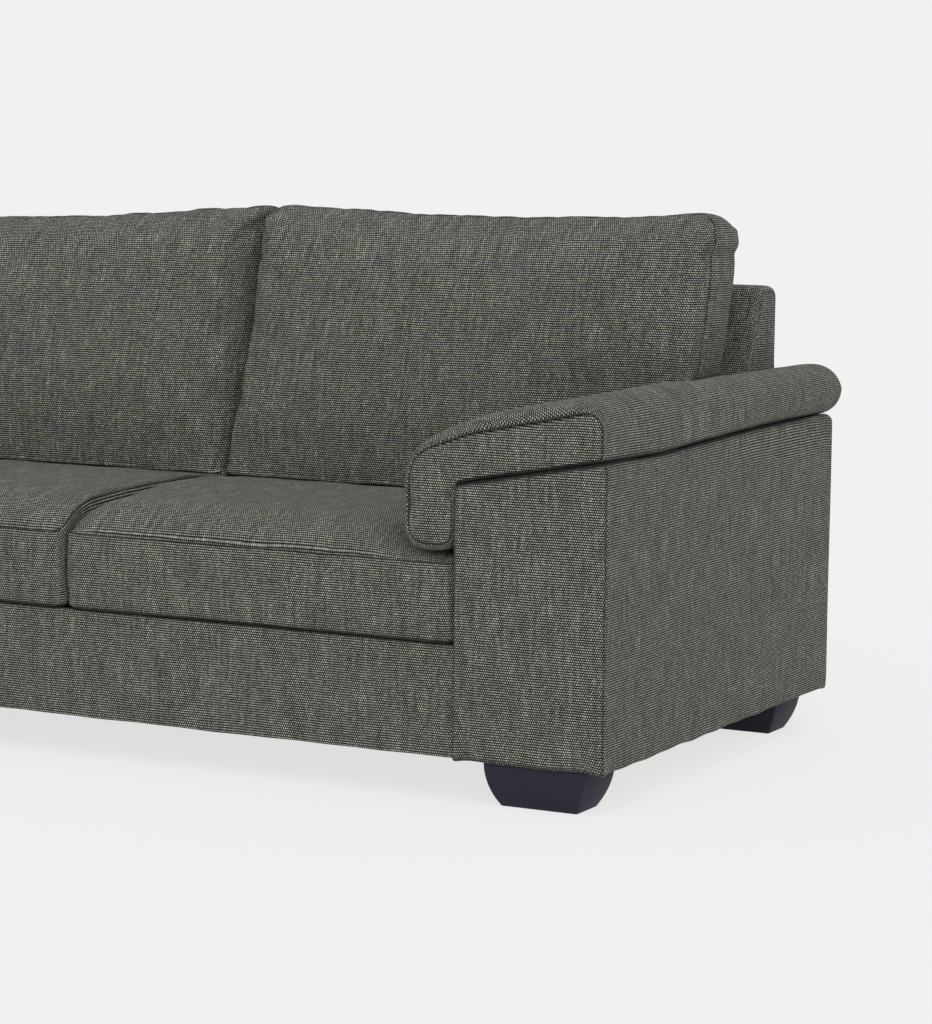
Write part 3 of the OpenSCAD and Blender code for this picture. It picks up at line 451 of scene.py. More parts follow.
def run_of(path):
    """How far along a path each of its points lies."""
    return np.concatenate([[0], np.cumsum(np.linalg.norm(np.diff(path, axis=0), axis=1))])


def placed(path, shares):
    """Points at these shares of a path's length."""
    run = run_of(path)
    return np.stack([np.interp(np.asarray(shares) * run[-1], run, path[:, k])
                     for k in range(path.shape[1])], 1)


TIGHTEST_R = 12 * mm


def moved(corners, out):
    """Corners of an outline that runs clockwise, its edges, one after each corner, moved
    outwards. The radii follow, but corners that get narrower stay round."""
    at = np.array([c[:2] for c in corners])
    out = np.broadcast_to(out, len(corners))
    along = unit(np.roll(at, -1, 0) - at)
    normal = np.stack([-along[:, 1], along[:, 0]], 1)
    result = []
    for k, (a, b, r) in enumerate(corners):
        lines = np.array([normal[k - 1], normal[k]])
        place = np.linalg.solve(lines, [lines[0] @ at[k] + out[k - 1], lines[1] @ at[k] + out[k]])
        hollow = along[k - 1][0] * along[k][1] - along[k - 1][1] * along[k][0] > 0
        shift = (out[k - 1] + out[k]) / 2 * (-1 if hollow else 1)
        result.append((*place, max(r + shift, min(r, TIGHTEST_R)) if r > 0 else 0))
    return result


class Outline:
    """A closed outline, cut at four of its corners into a left, top, right and bottom side. They
    run from the lower left corner up and round, and opposite sides have as many points."""

    def __init__(self, corners, four, edge=3 * mm, middle=13 * mm):
        sides = self.cut(corners, four)
        lengths = [run_of(s)[-1] for s in sides]
        self.rows = spread((lengths[0] + lengths[2]) / 2, edge, middle)
        self.columns = spread((lengths[1] + lengths[3]) / 2, edge, middle)
        self.four = four
        self.settle(corners)

    def settle(self, corners, shares=1.0):
        """Takes its ring from these corners. Each edge is drawn in by its share."""
        self.corners, self.shares = corners, np.asarray(shares)
        self.ring = self.ring_of(corners)
        self.out = normals_of(self.ring)
        probe = 10 * mm
        self.reach = ((self.ring - self.at(probe)) * self.out).sum(1) / probe
        return self

    def twin(self, corners=None, shares=1.0):
        """An outline with as many points, of other corners or other shares."""
        return copy.copy(self).settle(corners or self.corners, shares)

    @staticmethod
    def cut(corners, four):
        points, marks = rounded(corners)
        return [path_between(points, marks[four[k]], marks[four[(k + 1) % 4]]) for k in range(4)]

    def ring_of(self, corners):
        """A ring through other corners, with as many points."""
        shares = (self.rows, self.columns, self.rows, self.columns)
        return np.concatenate([placed(s, t)[:-1]
                               for s, t in zip(self.cut(corners, self.four), shares)])

    def at(self, draw, corners=None):
        """The ring drawn in by this much, or by each edge's share of it."""
        return self.ring_of(moved(corners or self.corners, -draw * self.shares))

    def flat(self, draw, beyond):
        """The ring as cloth that turns over the edge, laid flat."""
        return self.at(draw) + beyond * self.reach[:, None] * self.out


def normals_of(ring):
    """Directions out of a ring that runs clockwise."""
    along = unit(unit(np.roll(ring, -1, 0) - ring) + unit(ring - np.roll(ring, 1, 0)))
    return np.stack([-along[:, 1], along[:, 0]], 1)


class Profile:
    """How far a skin runs along and how far it is drawn in, from one end to the other. Its points
    lie closest at the seams, which sink by depth."""

    def __init__(self, path, seams, depth=3 * mm, edge=1.8 * mm, middle=13 * mm):
        path = np.asarray(path, float)
        run = run_of(path)
        stops = [0, *seams, run[-1]]
        places, self.panels = [], []
        for k in range(len(stops) - 1):
            part = stops[k] + spread(stops[k + 1] - stops[k], edge, middle) * (
                stops[k + 1] - stops[k])
            self.panels += [k] * (len(part) - 1)
            places += list(part[:-1])
        self.run = np.array([*places, run[-1]])
        self.points = placed(path, self.run / run[-1])
        self.seam_rings = [int(np.argmin(abs(self.run - seam))) for seam in seams]
        for k, sink in zip(self.seam_rings, np.broadcast_to(depth, len(seams))):
            along = unit(self.points[k + 1] - self.points[k - 1])
            self.points[k] += sink * np.array([-along[1], along[0]])


def bend(centre, radius, start, turn=90, steps=8):
    """An arc of a profile, angles in degrees."""
    angles = np.radians(start + turn * np.arange(steps + 1) / steps)
    return [(centre[0] + radius * np.cos(a), centre[1] + radius * np.sin(a)) for a in angles]


def patch(ring, rows, columns):
    """A grid of points inside a closed ring."""
    m, n = len(rows), len(columns)
    closed = np.concatenate([ring, ring[:1]])
    left, top = closed[:m], closed[m - 1:m + n - 1]
    right = closed[m + n - 2:2 * m + n - 2][::-1]
    bottom = closed[2 * m + n - 3:][::-1]
    u, v = columns[None, :, None], rows[:, None, None]
    return ((1 - u) * left[:, None] + u * right[:, None] + (1 - v) * bottom + v * top
            - (1 - u) * (1 - v) * left[0] - u * (1 - v) * right[0]
            - (1 - u) * v * left[-1] - u * v * right[-1])


class Sewn:
    """A closed skin through rings of points, with a grid over its first and its last ring. Its
    cloth map is in metres: flat over the end panels, and unrolled round those between them."""

    def __init__(self, outline, rings, profile, shapes=(None, None), flats=None, upright=False,
                 own_run=None):
        self.seams = profile.seam_rings
        rows, columns = outline.rows, outline.columns
        m, n, count, last = len(rows), len(columns), len(rings[0]), len(rings) - 1
        self.rings, self.count = len(rings), count
        flats = flats or (outline, outline)
        run, draw = profile.run, profile.points[:, 1]
        i = np.arange(count)
        points, faces, maps = list(rings), [], []
        around = [run_of(np.concatenate([r, r[:1]])) for r in rings]
        for j, panel in enumerate(profile.panels):
            quad = np.stack([j * count + i, j * count + (i + 1) % count,
                             (j + 1) * count + (i + 1) % count, (j + 1) * count + i], 1)
            faces.append(quad)
            if panel == 0 and panel != profile.panels[-1]:
                flat = [flats[0].flat(draw[k], run[k] - draw[0] + draw[k]) for k in (j, j + 1)]
            elif panel == profile.panels[-1] and panel != 0:
                flat = [flats[1].flat(draw[k], run[last] - run[k] - draw[last] + draw[k])
                        for k in (j, j + 1)]
            else:
                flat = None
            if flat:
                maps.append(np.stack([flat[0], np.roll(flat[0], -1, 0),
                                      np.roll(flat[1], -1, 0), flat[1]], 1))
                continue
            if own_run is None:
                near = far = around[len(rings) // 2]
            else:
                near, far = (around[k] - around[k][own_run] for k in (j, j + 1))
            turn = np.stack([near[:-1], near[1:], far[1:], far[:-1]], 1)
            rise = np.broadcast_to([run[j], run[j], run[j + 1], run[j + 1]], turn.shape)
            maps.append(np.stack([turn, rise] if upright else [rise, turn], 2))
        start = len(rings) * count
        for which, ring_at in ((0, 0), (1, last)):
            grid = patch(rings[ring_at], rows, columns)
            if shapes[which]:
                grid = shapes[which](grid, columns[None, :], rows[:, None])
            flat = patch(flats[which].at(draw[ring_at]), rows, columns)
            rim = ring_at * count + np.append(i, 0)
            index = np.zeros((m, n), int)
            index[:, 0] = rim[:m]
            index[-1] = rim[m - 1:m + n - 1]
            index[:, -1] = rim[m + n - 2:2 * m + n - 2][::-1]
            index[0] = rim[2 * m + n - 3:][::-1]
            index[1:-1, 1:-1] = start + np.arange((m - 2) * (n - 2)).reshape(m - 2, -1)
            points.append(grid[1:-1, 1:-1].reshape(-1, 3))
            start += (m - 2) * (n - 2)
            # the two end panels face opposite ways
            facing = 1 if which == 0 else -1
            for cells, kept in ((index, faces), (flat, maps)):
                corners = np.stack([cells[:-1, :-1], cells[:-1, 1:], cells[1:, 1:],
                                    cells[1:, :-1]], 2)
                kept.append(corners.reshape(-1, 4, *cells.shape[2:])[:, ::facing])
        self.points, self.faces, self.cloth_map = map(np.concatenate, (points, faces, maps))
        # painted shade: 1 on the seam rings, where the material darkens the colour
        self.painted_shade = np.zeros(len(self.points))
        for k in self.seams:
            self.painted_shade[k * count:(k + 1) * count] = 1.0


def ripple(points, length, seed, waves=7):
    """Gentle unevenness from -1 to 1, about this long from crest to crest."""
    dice = np.random.default_rng(seed)
    total = np.zeros(len(points))
    for _ in range(waves):
        way = unit(dice.normal(size=3)) * dice.uniform(0.7, 1.4) * 2 * np.pi / length
        total += np.sin(points @ way + dice.uniform(0, 2 * np.pi))
    return total / waves ** 0.5 / 1.4


def facings(points, faces):
    """Normals of a closed skin's faces, and 1 if they point out of it or -1 if into it."""
    corner = points[faces]
    normal = np.cross(corner[:, 2] - corner[:, 0], corner[:, 3] - corner[:, 1])
    return normal, np.sign((normal * (corner.mean(1) - points.mean(0))).sum())


def outward(points, faces):
    """Unit normals at the points of a closed skin."""
    normal, way = facings(points, faces)
    total = np.full_like(points, 1e-12)
    for k in range(4):
        np.add.at(total, faces[:, k], normal)
    return unit(total) * way


def uneven(points, faces, height, length, seed):
    """Shifts that make a closed skin gently uneven, by about this height."""
    return outward(points, faces) * (height * ripple(points, length, seed))[:, None]


def smooth_step(x, low, high):
    t = np.clip((x - low) / (high - low), 0, 1)
    return t * t * (3 - 2 * t)


def subdivide(piece):
    """Smooths a cover by one subdivision."""
    modifier = piece.modifiers.new("smooth", "SUBSURF")
    modifier.levels = modifier.render_levels = 1


def mirrored(piece, name, replaced):
    """The piece's mirror image on the other side of the sofa."""
    twin = bpy.data.objects.new(name, piece.data.copy())
    twin.data.transform(((-1, 0, 0, 0), (0, 1, 0, 0), (0, 0, 1, 0), (0, 0, 0, 1)))
    twin.data.flip_normals()
    bpy.context.scene.collection.objects.link(twin)
    for modifier in piece.modifiers:
        copied = twin.modifiers.new(modifier.name, modifier.type)
        for setting in ("levels", "render_levels", "thickness", "offset"):
            if hasattr(modifier, setting):
                setattr(copied, setting, getattr(modifier, setting))
    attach(twin, ROOT)
    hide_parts(*replaced)
    return twin


arm_low, arm_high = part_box("right_arm_cover")
arm_in, arm_out = arm_low.x, arm_high.x
front_y, rear_y = arm_low.y, arm_high.y
hem_z = arm_low.z
ARM_INNER_H = 537 * mm
ARM_INNER_R = 20 * mm
ARM_OUTER_R = 9 * mm
ARM_EDGE_R = 5 * mm
ARM_SEAM_DEPTHS, ARM_SEAM_SHADE = (2.6 * mm, 0.8 * mm), 0.55
ARM_END_SWELL = 2.5 * mm
CLOTH_T = 1.5 * mm
HEM_FOLD = 24 * mm
ARM_BOW, BOW_FROM, BOW_FULL = 10 * mm, 0.2, 0.78
BOW_DIP, BOW_DIP_AT, BOW_DIP_HALF = 0.25, 0.22, 0.10
CREASE_SHADE_HALF, CREASE_SHADE_FADED = 2 * mm, 8 * mm
ARM_UNEVEN, ARM_UNEVEN_LENGTH = 1.1 * mm, 170 * mm
HEM_RISE, HEM_WAVE, HEM_WAVE_LENGTH = 60 * mm, 1.6 * mm, 110 * mm
HEM_DIP, HEM_DIP_REACH = 4.5 * mm, 22 * mm
ARM_END_RUN, ARM_END_FALL = 30 * mm, 9 * mm
ARM_END_FROM_Z, ARM_END_FULL_Z = 450 * mm, 580 * mm
PAD_T = 102 * mm
arm_slope = (arm_high.z - ARM_INNER_H) / (arm_out - arm_in)


def arm_top_z(x):
    return ARM_INNER_H + arm_slope * (x - arm_in)


def bow_of(x, t):
    """How far the arm's top bows up at t of its length from the front."""
    dip = BOW_DIP * np.exp(-((t - BOW_DIP_AT) / BOW_DIP_HALF) ** 2)
    return (ARM_BOW * smooth_step(x, arm_in + 60 * mm, arm_out - 10 * mm)
            * (smooth_step(t, BOW_FROM, BOW_FULL) - dip))


def bowed(points):
    """Lifts the upper parts of an arm where its padded top bows up along the outer edge."""
    t = (points[:, 1] - front_y) / (rear_y - front_y)
    above = points[:, 2] - arm_top_z(points[:, 0])
    share = smooth_step(above, -60 * mm, -5 * mm) * (1 - 0.75 * smooth_step(above, 5 * mm, PAD_T))
    points[:, 2] += share * bow_of(points[:, 0], t)


def pad_crease_shade(points):
    """How much shade is painted in the crease between an arm and its pad: 1 in the crease, and 0
    away from it.
    """
    t = (points[:, 1] - front_y) / (rear_y - front_y)
    off = abs(points[:, 2] - arm_top_z(points[:, 0]) - bow_of(points[:, 0], t))
    over_arm = smooth_step(points[:, 0], arm_in - 1 * mm, arm_in + 2 * mm)
    at_rear = smooth_step(t, 0.80, 0.93)
    return over_arm * (1 - smooth_step(off, CREASE_SHADE_HALF, CREASE_SHADE_FADED)) * (1 - at_rear)


def swollen(axis, amount, power=3):
    """The shape of an end panel that swells by this much along an axis."""
    def shape(grid, u, v):
        grid[..., axis] += amount * (1 - abs(2 * u - 1) ** power) * (1 - abs(2 * v - 1) ** power)
        return grid
    return shape


def arm_cover():
    r = ARM_EDGE_R
    under = hem_z - CLOTH_T
    outline = Outline([(arm_in, under, r + 0.5 * mm), (arm_in, arm_top_z(arm_in), ARM_INNER_R),
                       (arm_out, arm_top_z(arm_out), ARM_OUTER_R),
                       (arm_out, under, r + 0.5 * mm)], (0, 1, 2, 3))
    path = np.array([(front_y, r)] + bend((front_y + r, r), r, 180)
                    + bend((rear_y - r, r), r, 270) + [(rear_y, r)])
    seam = np.pi * r / 4
    profile = Profile(path, [seam, run_of(path)[-1] - seam], ARM_SEAM_DEPTHS)
    rings = [np.insert(outline.at(q), 1, y, 1) for y, q in profile.points]
    skin = Sewn(outline, rings, profile,
                (swollen(1, -ARM_END_SWELL), swollen(1, ARM_END_SWELL)))
    points, faces = skin.points, skin.faces
    free = smooth_step(points[:, 2], hem_z, hem_z + HEM_RISE / 2)
    points += uneven(points, faces, ARM_UNEVEN * free, ARM_UNEVEN_LENGTH, 3)
    # the hem waves a little and dips at the corners
    low = 1 - smooth_step(points[:, 2], hem_z, hem_z + HEM_RISE)
    points[:, 2] += low * HEM_WAVE * (ripple(points, HEM_WAVE_LENGTH, 5) - 0.6)
    for corner in ((arm_out, front_y), (arm_out, rear_y), (arm_in, front_y)):
        away = np.hypot(points[:, 0] - corner[0], points[:, 1] - corner[1])
        points[:, 2] -= low * HEM_DIP * np.exp(-(away / HEM_DIP_REACH) ** 2)
    bowed(points)
    # the padding thins out at the rear end of the top
    at_end = np.clip((points[:, 1] - rear_y) / ARM_END_RUN + 1, 0, 1) ** 2
    points[:, 2] -= ARM_END_FALL * at_end * smooth_step(points[:, 2], ARM_END_FROM_Z,
                                                        ARM_END_FULL_Z)
    # the underside is open inside the folded hem
    at = points[faces].mean(1)
    from_edge = np.minimum.reduce([at[:, 0] - arm_in, arm_out - at[:, 0], at[:, 1] - front_y,
                                   rear_y - at[:, 1]])
    kept = (at[:, 2] > hem_z + 2 * mm) | (from_edge < HEM_FOLD)
    # painted shade along the seams and in the crease under the pad
    painted_shade = np.maximum(ARM_SEAM_SHADE * skin.painted_shade, pad_crease_shade(points))
    return points, faces[kept], skin.cloth_map[kept], painted_shade


points, faces, cloth_map, painted_shade = arm_cover()
right_arm = add_piece("right_arm_upholstery", points, faces, weave, slot="body_fabric",
                      replaced=["right_arm_cover"], cloth_map=cloth_map, painted_shade=painted_shade)
thick = right_arm.modifiers.new("cloth", "SOLIDIFY")
thick.thickness, thick.offset = CLOTH_T, -1
subdivide(right_arm)
mirrored(right_arm, "left_arm_upholstery", ["left_arm_cover"])
finish_nodes(timber("plywood", (0.3, 0.3, 1.0), (0.66, 0.50, 0.31), (0.52, 0.36, 0.20)),
             *[side + board for side in ("right_arm_", "left_arm_")
               for board in ("base_board", "front_board", "rear_board", "top_board")],
             "sofa_back_posts", "chaise_back_posts")

# Front borders and decks
# A padded strip of the same cloth on the front rails, and round three sides of the chaise. Its
# top edge is turned over the deck of lining cloth that the seat cushions lie on.
BORDER_FOOT_R = 3 * mm
BORDER_TOP_R = 6 * mm
BORDER_TURN = 18 * mm
BORDER_BULGE, BORDER_UNEVEN = 1.5 * mm, 0.9 * mm
BORDER_HEM_RISE, BORDER_HEM_WAVE = 50 * mm, 1.2 * mm


def border(path, deck_top):
    """A strip along an open path of the frame's outline, seen from above and running
    clockwise, folded in at its foot and at its top."""
    foot, top = BORDER_FOOT_R, BORDER_TOP_R
    section = np.array([(HEM_FOLD, hem_z - CLOTH_T), (foot, hem_z - CLOTH_T)]
                       + bend((foot, hem_z - CLOTH_T + foot), foot, 270, -90)[1:]
                       + bend((top, deck_top - top), top, 180, -90) + [(BORDER_TURN, deck_top)])
    run = run_of(section)
    across = spread(run[-1], 3 * mm, 13 * mm) * run[-1]
    section = placed(section, np.unique(np.round(np.concatenate([across, run]), 5)) / run[-1])
    run = run_of(section)
    along = run_of(path)
    places = np.unique(np.round(np.concatenate(
        [spread(along[-1], 4 * mm, 16 * mm) * along[-1], along]), 4))
    path = placed(path, places / along[-1])
    ahead = unit(np.gradient(path, places, axis=0))
    inwards = np.stack([ahead[:, 1], -ahead[:, 0]], 1) * -1
    m, n = len(section), len(path)
    points = np.concatenate([path[:, None] + inwards[:, None] * section[None, :, :1],
                             np.broadcast_to(section[None, :, 1:], (n, m, 1))], 2)
    face = (section[:, 1] > hem_z + 12 * mm) & (section[:, 1] < deck_top - 12 * mm)
    bulge = np.interp(section[:, 1], [hem_z, (hem_z + deck_top) / 2, deck_top],
                      [0, BORDER_BULGE, 0])
    soft = BORDER_UNEVEN * ripple(points.reshape(-1, 3), 160 * mm, 8).reshape(n, m)
    points[..., :2] -= inwards[:, None] * ((bulge + soft) * face)[..., None]
    low = 1 - smooth_step(points[..., 2], hem_z, hem_z + BORDER_HEM_RISE)
    wave = ripple(points.reshape(-1, 3), 120 * mm, 9).reshape(n, m) - 0.5
    points[..., 2] += low * BORDER_HEM_WAVE * wave
    index = np.arange(n * m).reshape(n, m)
    faces = np.stack([index[:-1, :-1], index[1:, :-1], index[1:, 1:], index[:-1, 1:]], 2)
    flat = np.stack(np.meshgrid(places, run, indexing="ij"), 2)
    cloth_map = np.stack([flat[:-1, :-1], flat[1:, :-1], flat[1:, 1:], flat[:-1, 1:]], 2)
    return points.reshape(-1, 3), faces.reshape(-1, 4), cloth_map.reshape(-1, 4, 2)


def lining():
    """Fine plain black-grey lining, which is hidden under the seat cushions."""
    material, tree, shader = new_material("deck_lining")
    place = node(tree, "TexCoord").outputs["Object"]
    threads = node(tree, "TexChecker")
    plug(tree, place, threads.inputs["Vector"])
    threads.inputs["Scale"].default_value = 900.0
    threads.inputs["Color1"].default_value = (0.055, 0.058, 0.052, 1.0)
    threads.inputs["Color2"].default_value = (0.035, 0.037, 0.034, 1.0)
    plug(tree, threads.outputs["Color"], shader.inputs["Base Color"])
    shader.inputs["Roughness"].default_value = 0.9
    relief(tree, shader, threads.outputs["Fac"], 0.0003)
    return material


def slab(name, low, high, edge_r, material, **rest):
    """A box with soft edges."""
    corners = [(x, y, z) for z in (low[2], high[2])
               for x, y in ((low[0], low[1]), (high[0], low[1]), (high[0], high[1]),
                            (low[0], high[1]))]
    faces = [(3, 2, 1, 0), (4, 5, 6, 7), (0, 1, 5, 4), (1, 2, 6, 5), (2, 3, 7, 6), (3, 0, 4, 7)]
    piece = add_piece(name, corners, faces, material, **rest)
    soft = piece.modifiers.new("edges", "BEVEL")
    soft.width, soft.segments = edge_r, 3
    return piece


deck_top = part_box("sofa_deck")[1].z - 0.5 * mm
sofa_low, sofa_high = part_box("sofa_front_border")
points, faces, cloth_map = border(np.array([(sofa_low.x, sofa_low.y), (sofa_high.x, sofa_low.y)]),
                                  deck_top)
sofa_border = add_piece("sofa_border_upholstery", points, faces, weave, slot="body_fabric",
                        replaced=["sofa_front_border"], cloth_map=cloth_map)
chaise_low, chaise_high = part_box("chaise_border")
CHAISE_CORNER_R = 10 * mm
plan, marks = rounded([(chaise_low.x, chaise_high.y, 0),
                       (chaise_low.x, chaise_low.y, CHAISE_CORNER_R),
                       (chaise_high.x, chaise_low.y, CHAISE_CORNER_R),
                       (chaise_high.x, chaise_high.y, 0)])
points, faces, cloth_map = border(plan, deck_top)
chaise_border = add_piece("chaise_border_upholstery", points, faces, weave, slot="body_fabric",
                          replaced=["chaise_border"], cloth_map=cloth_map)
for piece in (sofa_border, chaise_border):
    thick = piece.modifiers.new("cloth", "SOLIDIFY")
    thick.thickness, thick.offset = CLOTH_T, -1
    subdivide(piece)

deck_lining = lining()
DECK_INSET = 14 * mm
for unit_name, sides in (("sofa", 0), ("chaise", DECK_INSET)):
    low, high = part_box(unit_name + "_deck")
    slab(unit_name + "_deck_panel", (low.x + sides, low.y + DECK_INSET, low.z),
         (high.x - sides, high.y, deck_top - CLOTH_T), 3 * mm, deck_lining, slot="deck_cloth",
         replaced=[unit_name + "_deck"])

# Arm pads
# Fibre-filled pads, sewn down on the arms: each lies on the arm's sloping top, turns over its
# inner edge and hangs down over the seat. A facing closes the front, inside a seam.
DROP_Z = 422 * mm
PAD_IN_X = arm_in - 98 * mm
PAD_BEND_X = arm_out - 218 * mm
PAD_OUT_X = arm_out - 3 * mm
PAD_SHOULDER_Z = ARM_INNER_H + 57 * mm
PAD_LIFT = 0.25 * mm
PAD_SWELL = 5 * mm
PAD_CROWN = 3 * mm
PAD_FLARE = 24 * mm
PAD_EDGE_R = 14 * mm
FACING_IN = 13 * mm
FACING_SWELL = 3.5 * mm
PAD_SEAM_DEPTH = 4.5 * mm
PAD_HELD_Y = 340 * mm
PAD_FREE_Y, PAD_PRESSED_Y = 180 * mm, 300 * mm
PAD_UNEVEN = 1.2 * mm
SPARE_CLOTH = -0.01
PAD_CAP = 7 * mm
arm_side_x = arm_in - 0.5 * mm
pad_corners = [(arm_side_x, DROP_Z, 30 * mm), (PAD_IN_X, DROP_Z, 44 * mm),
               (PAD_IN_X, PAD_SHOULDER_Z, 76 * mm),
               (PAD_BEND_X, arm_top_z(PAD_BEND_X) + PAD_T, 160 * mm),
               (PAD_OUT_X, arm_top_z(PAD_OUT_X) + PAD_T + PAD_SWELL, 42 * mm),
               (PAD_OUT_X, arm_top_z(PAD_OUT_X) + PAD_LIFT, 10 * mm),
               (arm_side_x, arm_top_z(arm_side_x) + PAD_LIFT, 20 * mm)]
PAD_SWELLING_EDGES = (1, 2, 3, 4)
PAD_FLARING_EDGE = 4
PAD_TOE, PAD_TOE_GROWTH = 5, 34 * mm
PAD_SHARES = (1, 1, 1.2, 1.6, 0.6, 0.4, 0.3)


def pad_section(t):
    """The pad's corners at t of its length from the front."""
    out = [0.0] * len(pad_corners)
    for k in PAD_SWELLING_EDGES:
        out[k] = PAD_CROWN * np.sin(np.pi * t)
    out[PAD_FLARING_EDGE] += PAD_FLARE * t * t
    corners = list(pad_corners)
    a, b, r = corners[PAD_TOE]
    corners[PAD_TOE] = (a, b, r + PAD_TOE_GROWTH * t * t)
    return moved(corners, out)


def filled(points, faces, held, cap, pressure=4.0, frames=20):
    """How far a filling presses each point of a closed skin out, by cloth simulation, at
    most cap. Held points stay."""
    if facings(points, faces)[1] < 0:
        faces = faces[:, ::-1]
    mesh = bpy.data.meshes.new("filling")
    mesh.from_pydata(points.tolist(), [], faces.tolist())
    skin = bpy.data.objects.new("filling", mesh)
    bpy.context.scene.collection.objects.link(skin)
    group = skin.vertex_groups.new(name="held")
    group.add(np.flatnonzero(held).tolist(), 1.0, "REPLACE")
    cloth = skin.modifiers.new("filling", "CLOTH")
    cloth.settings.vertex_group_mass = "held"
    cloth.settings.use_pressure = True
    cloth.settings.uniform_pressure_force = pressure
    cloth.settings.shrink_min = SPARE_CLOTH
    cloth.settings.effector_weights.gravity = 0
    cloth.collision_settings.use_collision = False
    cloth.point_cache.frame_start, cloth.point_cache.frame_end = 1, frames
    for frame_number in range(1, frames + 1):
        bpy.context.scene.frame_set(frame_number)
    seen = skin.evaluated_get(bpy.context.evaluated_depsgraph_get()).to_mesh()
    pressed = np.empty(len(points) * 3, np.float32)
    seen.vertices.foreach_get("co", pressed)
    bpy.data.objects.remove(skin)
    bpy.context.scene.frame_set(1)
    move = pressed.reshape(-1, 3) - points
    size = np.maximum(np.linalg.norm(move, axis=1, keepdims=True), 1e-9)
    return move * cap * np.tanh(size / cap) / size


def arm_pad():
    outline = Outline(pad_corners, (0, 1, 4, 5)).twin(shares=PAD_SHARES)
    r = PAD_EDGE_R
    inner = r + 9 * mm
    path = np.array([(front_y + 0.5 * mm, inner)] + bend((front_y + r, r), r, 180)
                    + bend((rear_y - r, r), r, 270) + [(rear_y - 0.5 * mm, inner)])
    total = run_of(path)[-1]
    seam = inner - FACING_IN
    profile = Profile(path, [seam, total - seam], PAD_SEAM_DEPTH)
    rings = []
    for y, q in profile.points:
        section = pad_section(np.clip((y - front_y) / (rear_y - front_y), 0, 1))
        rings.append(np.insert(outline.at(q, section), 1, y, 1))
    skin = Sewn(outline, rings, profile,
                (swollen(1, -FACING_SWELL, 2), swollen(1, FACING_SWELL, 2)))
    points = skin.points
    # it swells in front of the back cushion, and not where it lies on the arm
    out = outward(points, skin.faces)
    on_arm = (points[:, 2] < arm_top_z(points[:, 0]) + 6 * mm) & (points[:, 0] > arm_in - 6 * mm)
    held = (skin.painted_shade > 0) | (points[:, 1] > PAD_HELD_Y) | on_arm | (out[:, 2] < -0.8)
    free = 1 - smooth_step(points[:, 1], PAD_FREE_Y, PAD_PRESSED_Y)
    points += filled(points, skin.faces, held, PAD_CAP) * free[:, None]
    points += uneven(points, skin.faces, PAD_UNEVEN, 140 * mm, 21)
    bowed(points)
    # painted shade along the seams and in the crease where the pad lies on the arm
    return points, skin.faces, skin.cloth_map, np.maximum(skin.painted_shade, pad_crease_shade(points))


BACK_TOP_T, BACK_RAKE = 86 * mm, np.tan(np.radians(18.4))
PAD_BURY = 8 * mm
CUT_REACH, CUT_BEYOND = 150 * mm, 100 * mm
CUT_FOOT_Z, CUT_TOP_Z = 300 * mm, 900 * mm
back_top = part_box("sofa_back_cover")[1].z
back_wing_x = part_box("sofa_back_cover")[1].x


def back_face_y(z):
    return rear_y - BACK_TOP_T - (back_top - z) * BACK_RAKE


def cut_at_the_back(piece):
    """Ends the inner part of a pad inside the padding of the back frame."""
    bpy.context.view_layer.update()
    seen = piece.evaluated_get(bpy.context.evaluated_depsgraph_get())
    mesh = bpy.data.meshes.new_from_object(seen)
    x0, x1 = arm_in - CUT_REACH, back_wing_x - PAD_BURY
    z0, z1, y1 = CUT_FOOT_Z, CUT_TOP_Z, rear_y + CUT_BEYOND
    section = [(back_face_y(z0) + PAD_BURY, z0), (y1, z0), (y1, z1),
               (back_face_y(z1) + PAD_BURY, z1)]
    tool_mesh = bpy.data.meshes.new("cut")
    tool_mesh.from_pydata([(x, y, z) for x in (x0, x1) for y, z in section], [],
                          [(0, 1, 2, 3), (7, 6, 5, 4), (0, 4, 5, 1), (1, 5, 6, 2), (2, 6, 7, 3),
                           (3, 7, 4, 0)])
    tool = bpy.data.objects.new("cut", tool_mesh)
    bpy.context.scene.collection.objects.link(tool)
    piece.modifiers.clear()
    piece.data = mesh
    cut = piece.modifiers.new("cut", "BOOLEAN")
    cut.operation, cut.solver, cut.object = "DIFFERENCE", "EXACT", tool
    bpy.context.view_layer.update()
    seen = piece.evaluated_get(bpy.context.evaluated_depsgraph_get())
    result = bpy.data.meshes.new_from_object(seen)
    piece.modifiers.clear()
    piece.data = result
    bpy.data.objects.remove(tool)


points, faces, cloth_map, painted_shade = arm_pad()
right_pad = add_piece("right_arm_pad_upholstery", points, faces, weave, slot="body_fabric",
                      replaced=["right_arm_pad"], cloth_map=cloth_map, painted_shade=painted_shade)
subdivide(right_pad)
cut_at_the_back(right_pad)
left_pad = mirrored(right_pad, "left_arm_pad_upholstery", ["left_arm_pad"])

# Backs
# One padded cover over each unit's back frame, with a seam round its end panels, and a plain
# panel that closes the rear. The outer ends spread over the arms as wings.
BACK_EDGE_R = 14 * mm
BACK_REAR_R = 26 * mm
BACK_SEAM_IN = 12 * mm
BACK_SEAM_DEPTH = 2.4 * mm
BACK_UNEVEN = 1.0 * mm
BACK_SEAM_SHADE = 0.5
BACK_END_SWELL, WING_END_SWELL = 0.5 * mm, 3 * mm
PANEL_T, PANEL_EDGE, PANEL_LIP = 12 * mm, 5 * mm, 4 * mm
PANEL_SWELL, PANEL_UNEVEN = 1.5 * mm, 0.8 * mm
STEP_RUN = 10 * mm
WING_GAP = 0.5 * mm
BACK_PLUMP, BACK_WING_PLUMP = 7 * mm, 6 * mm
WING_FOOT_Z = 600 * mm


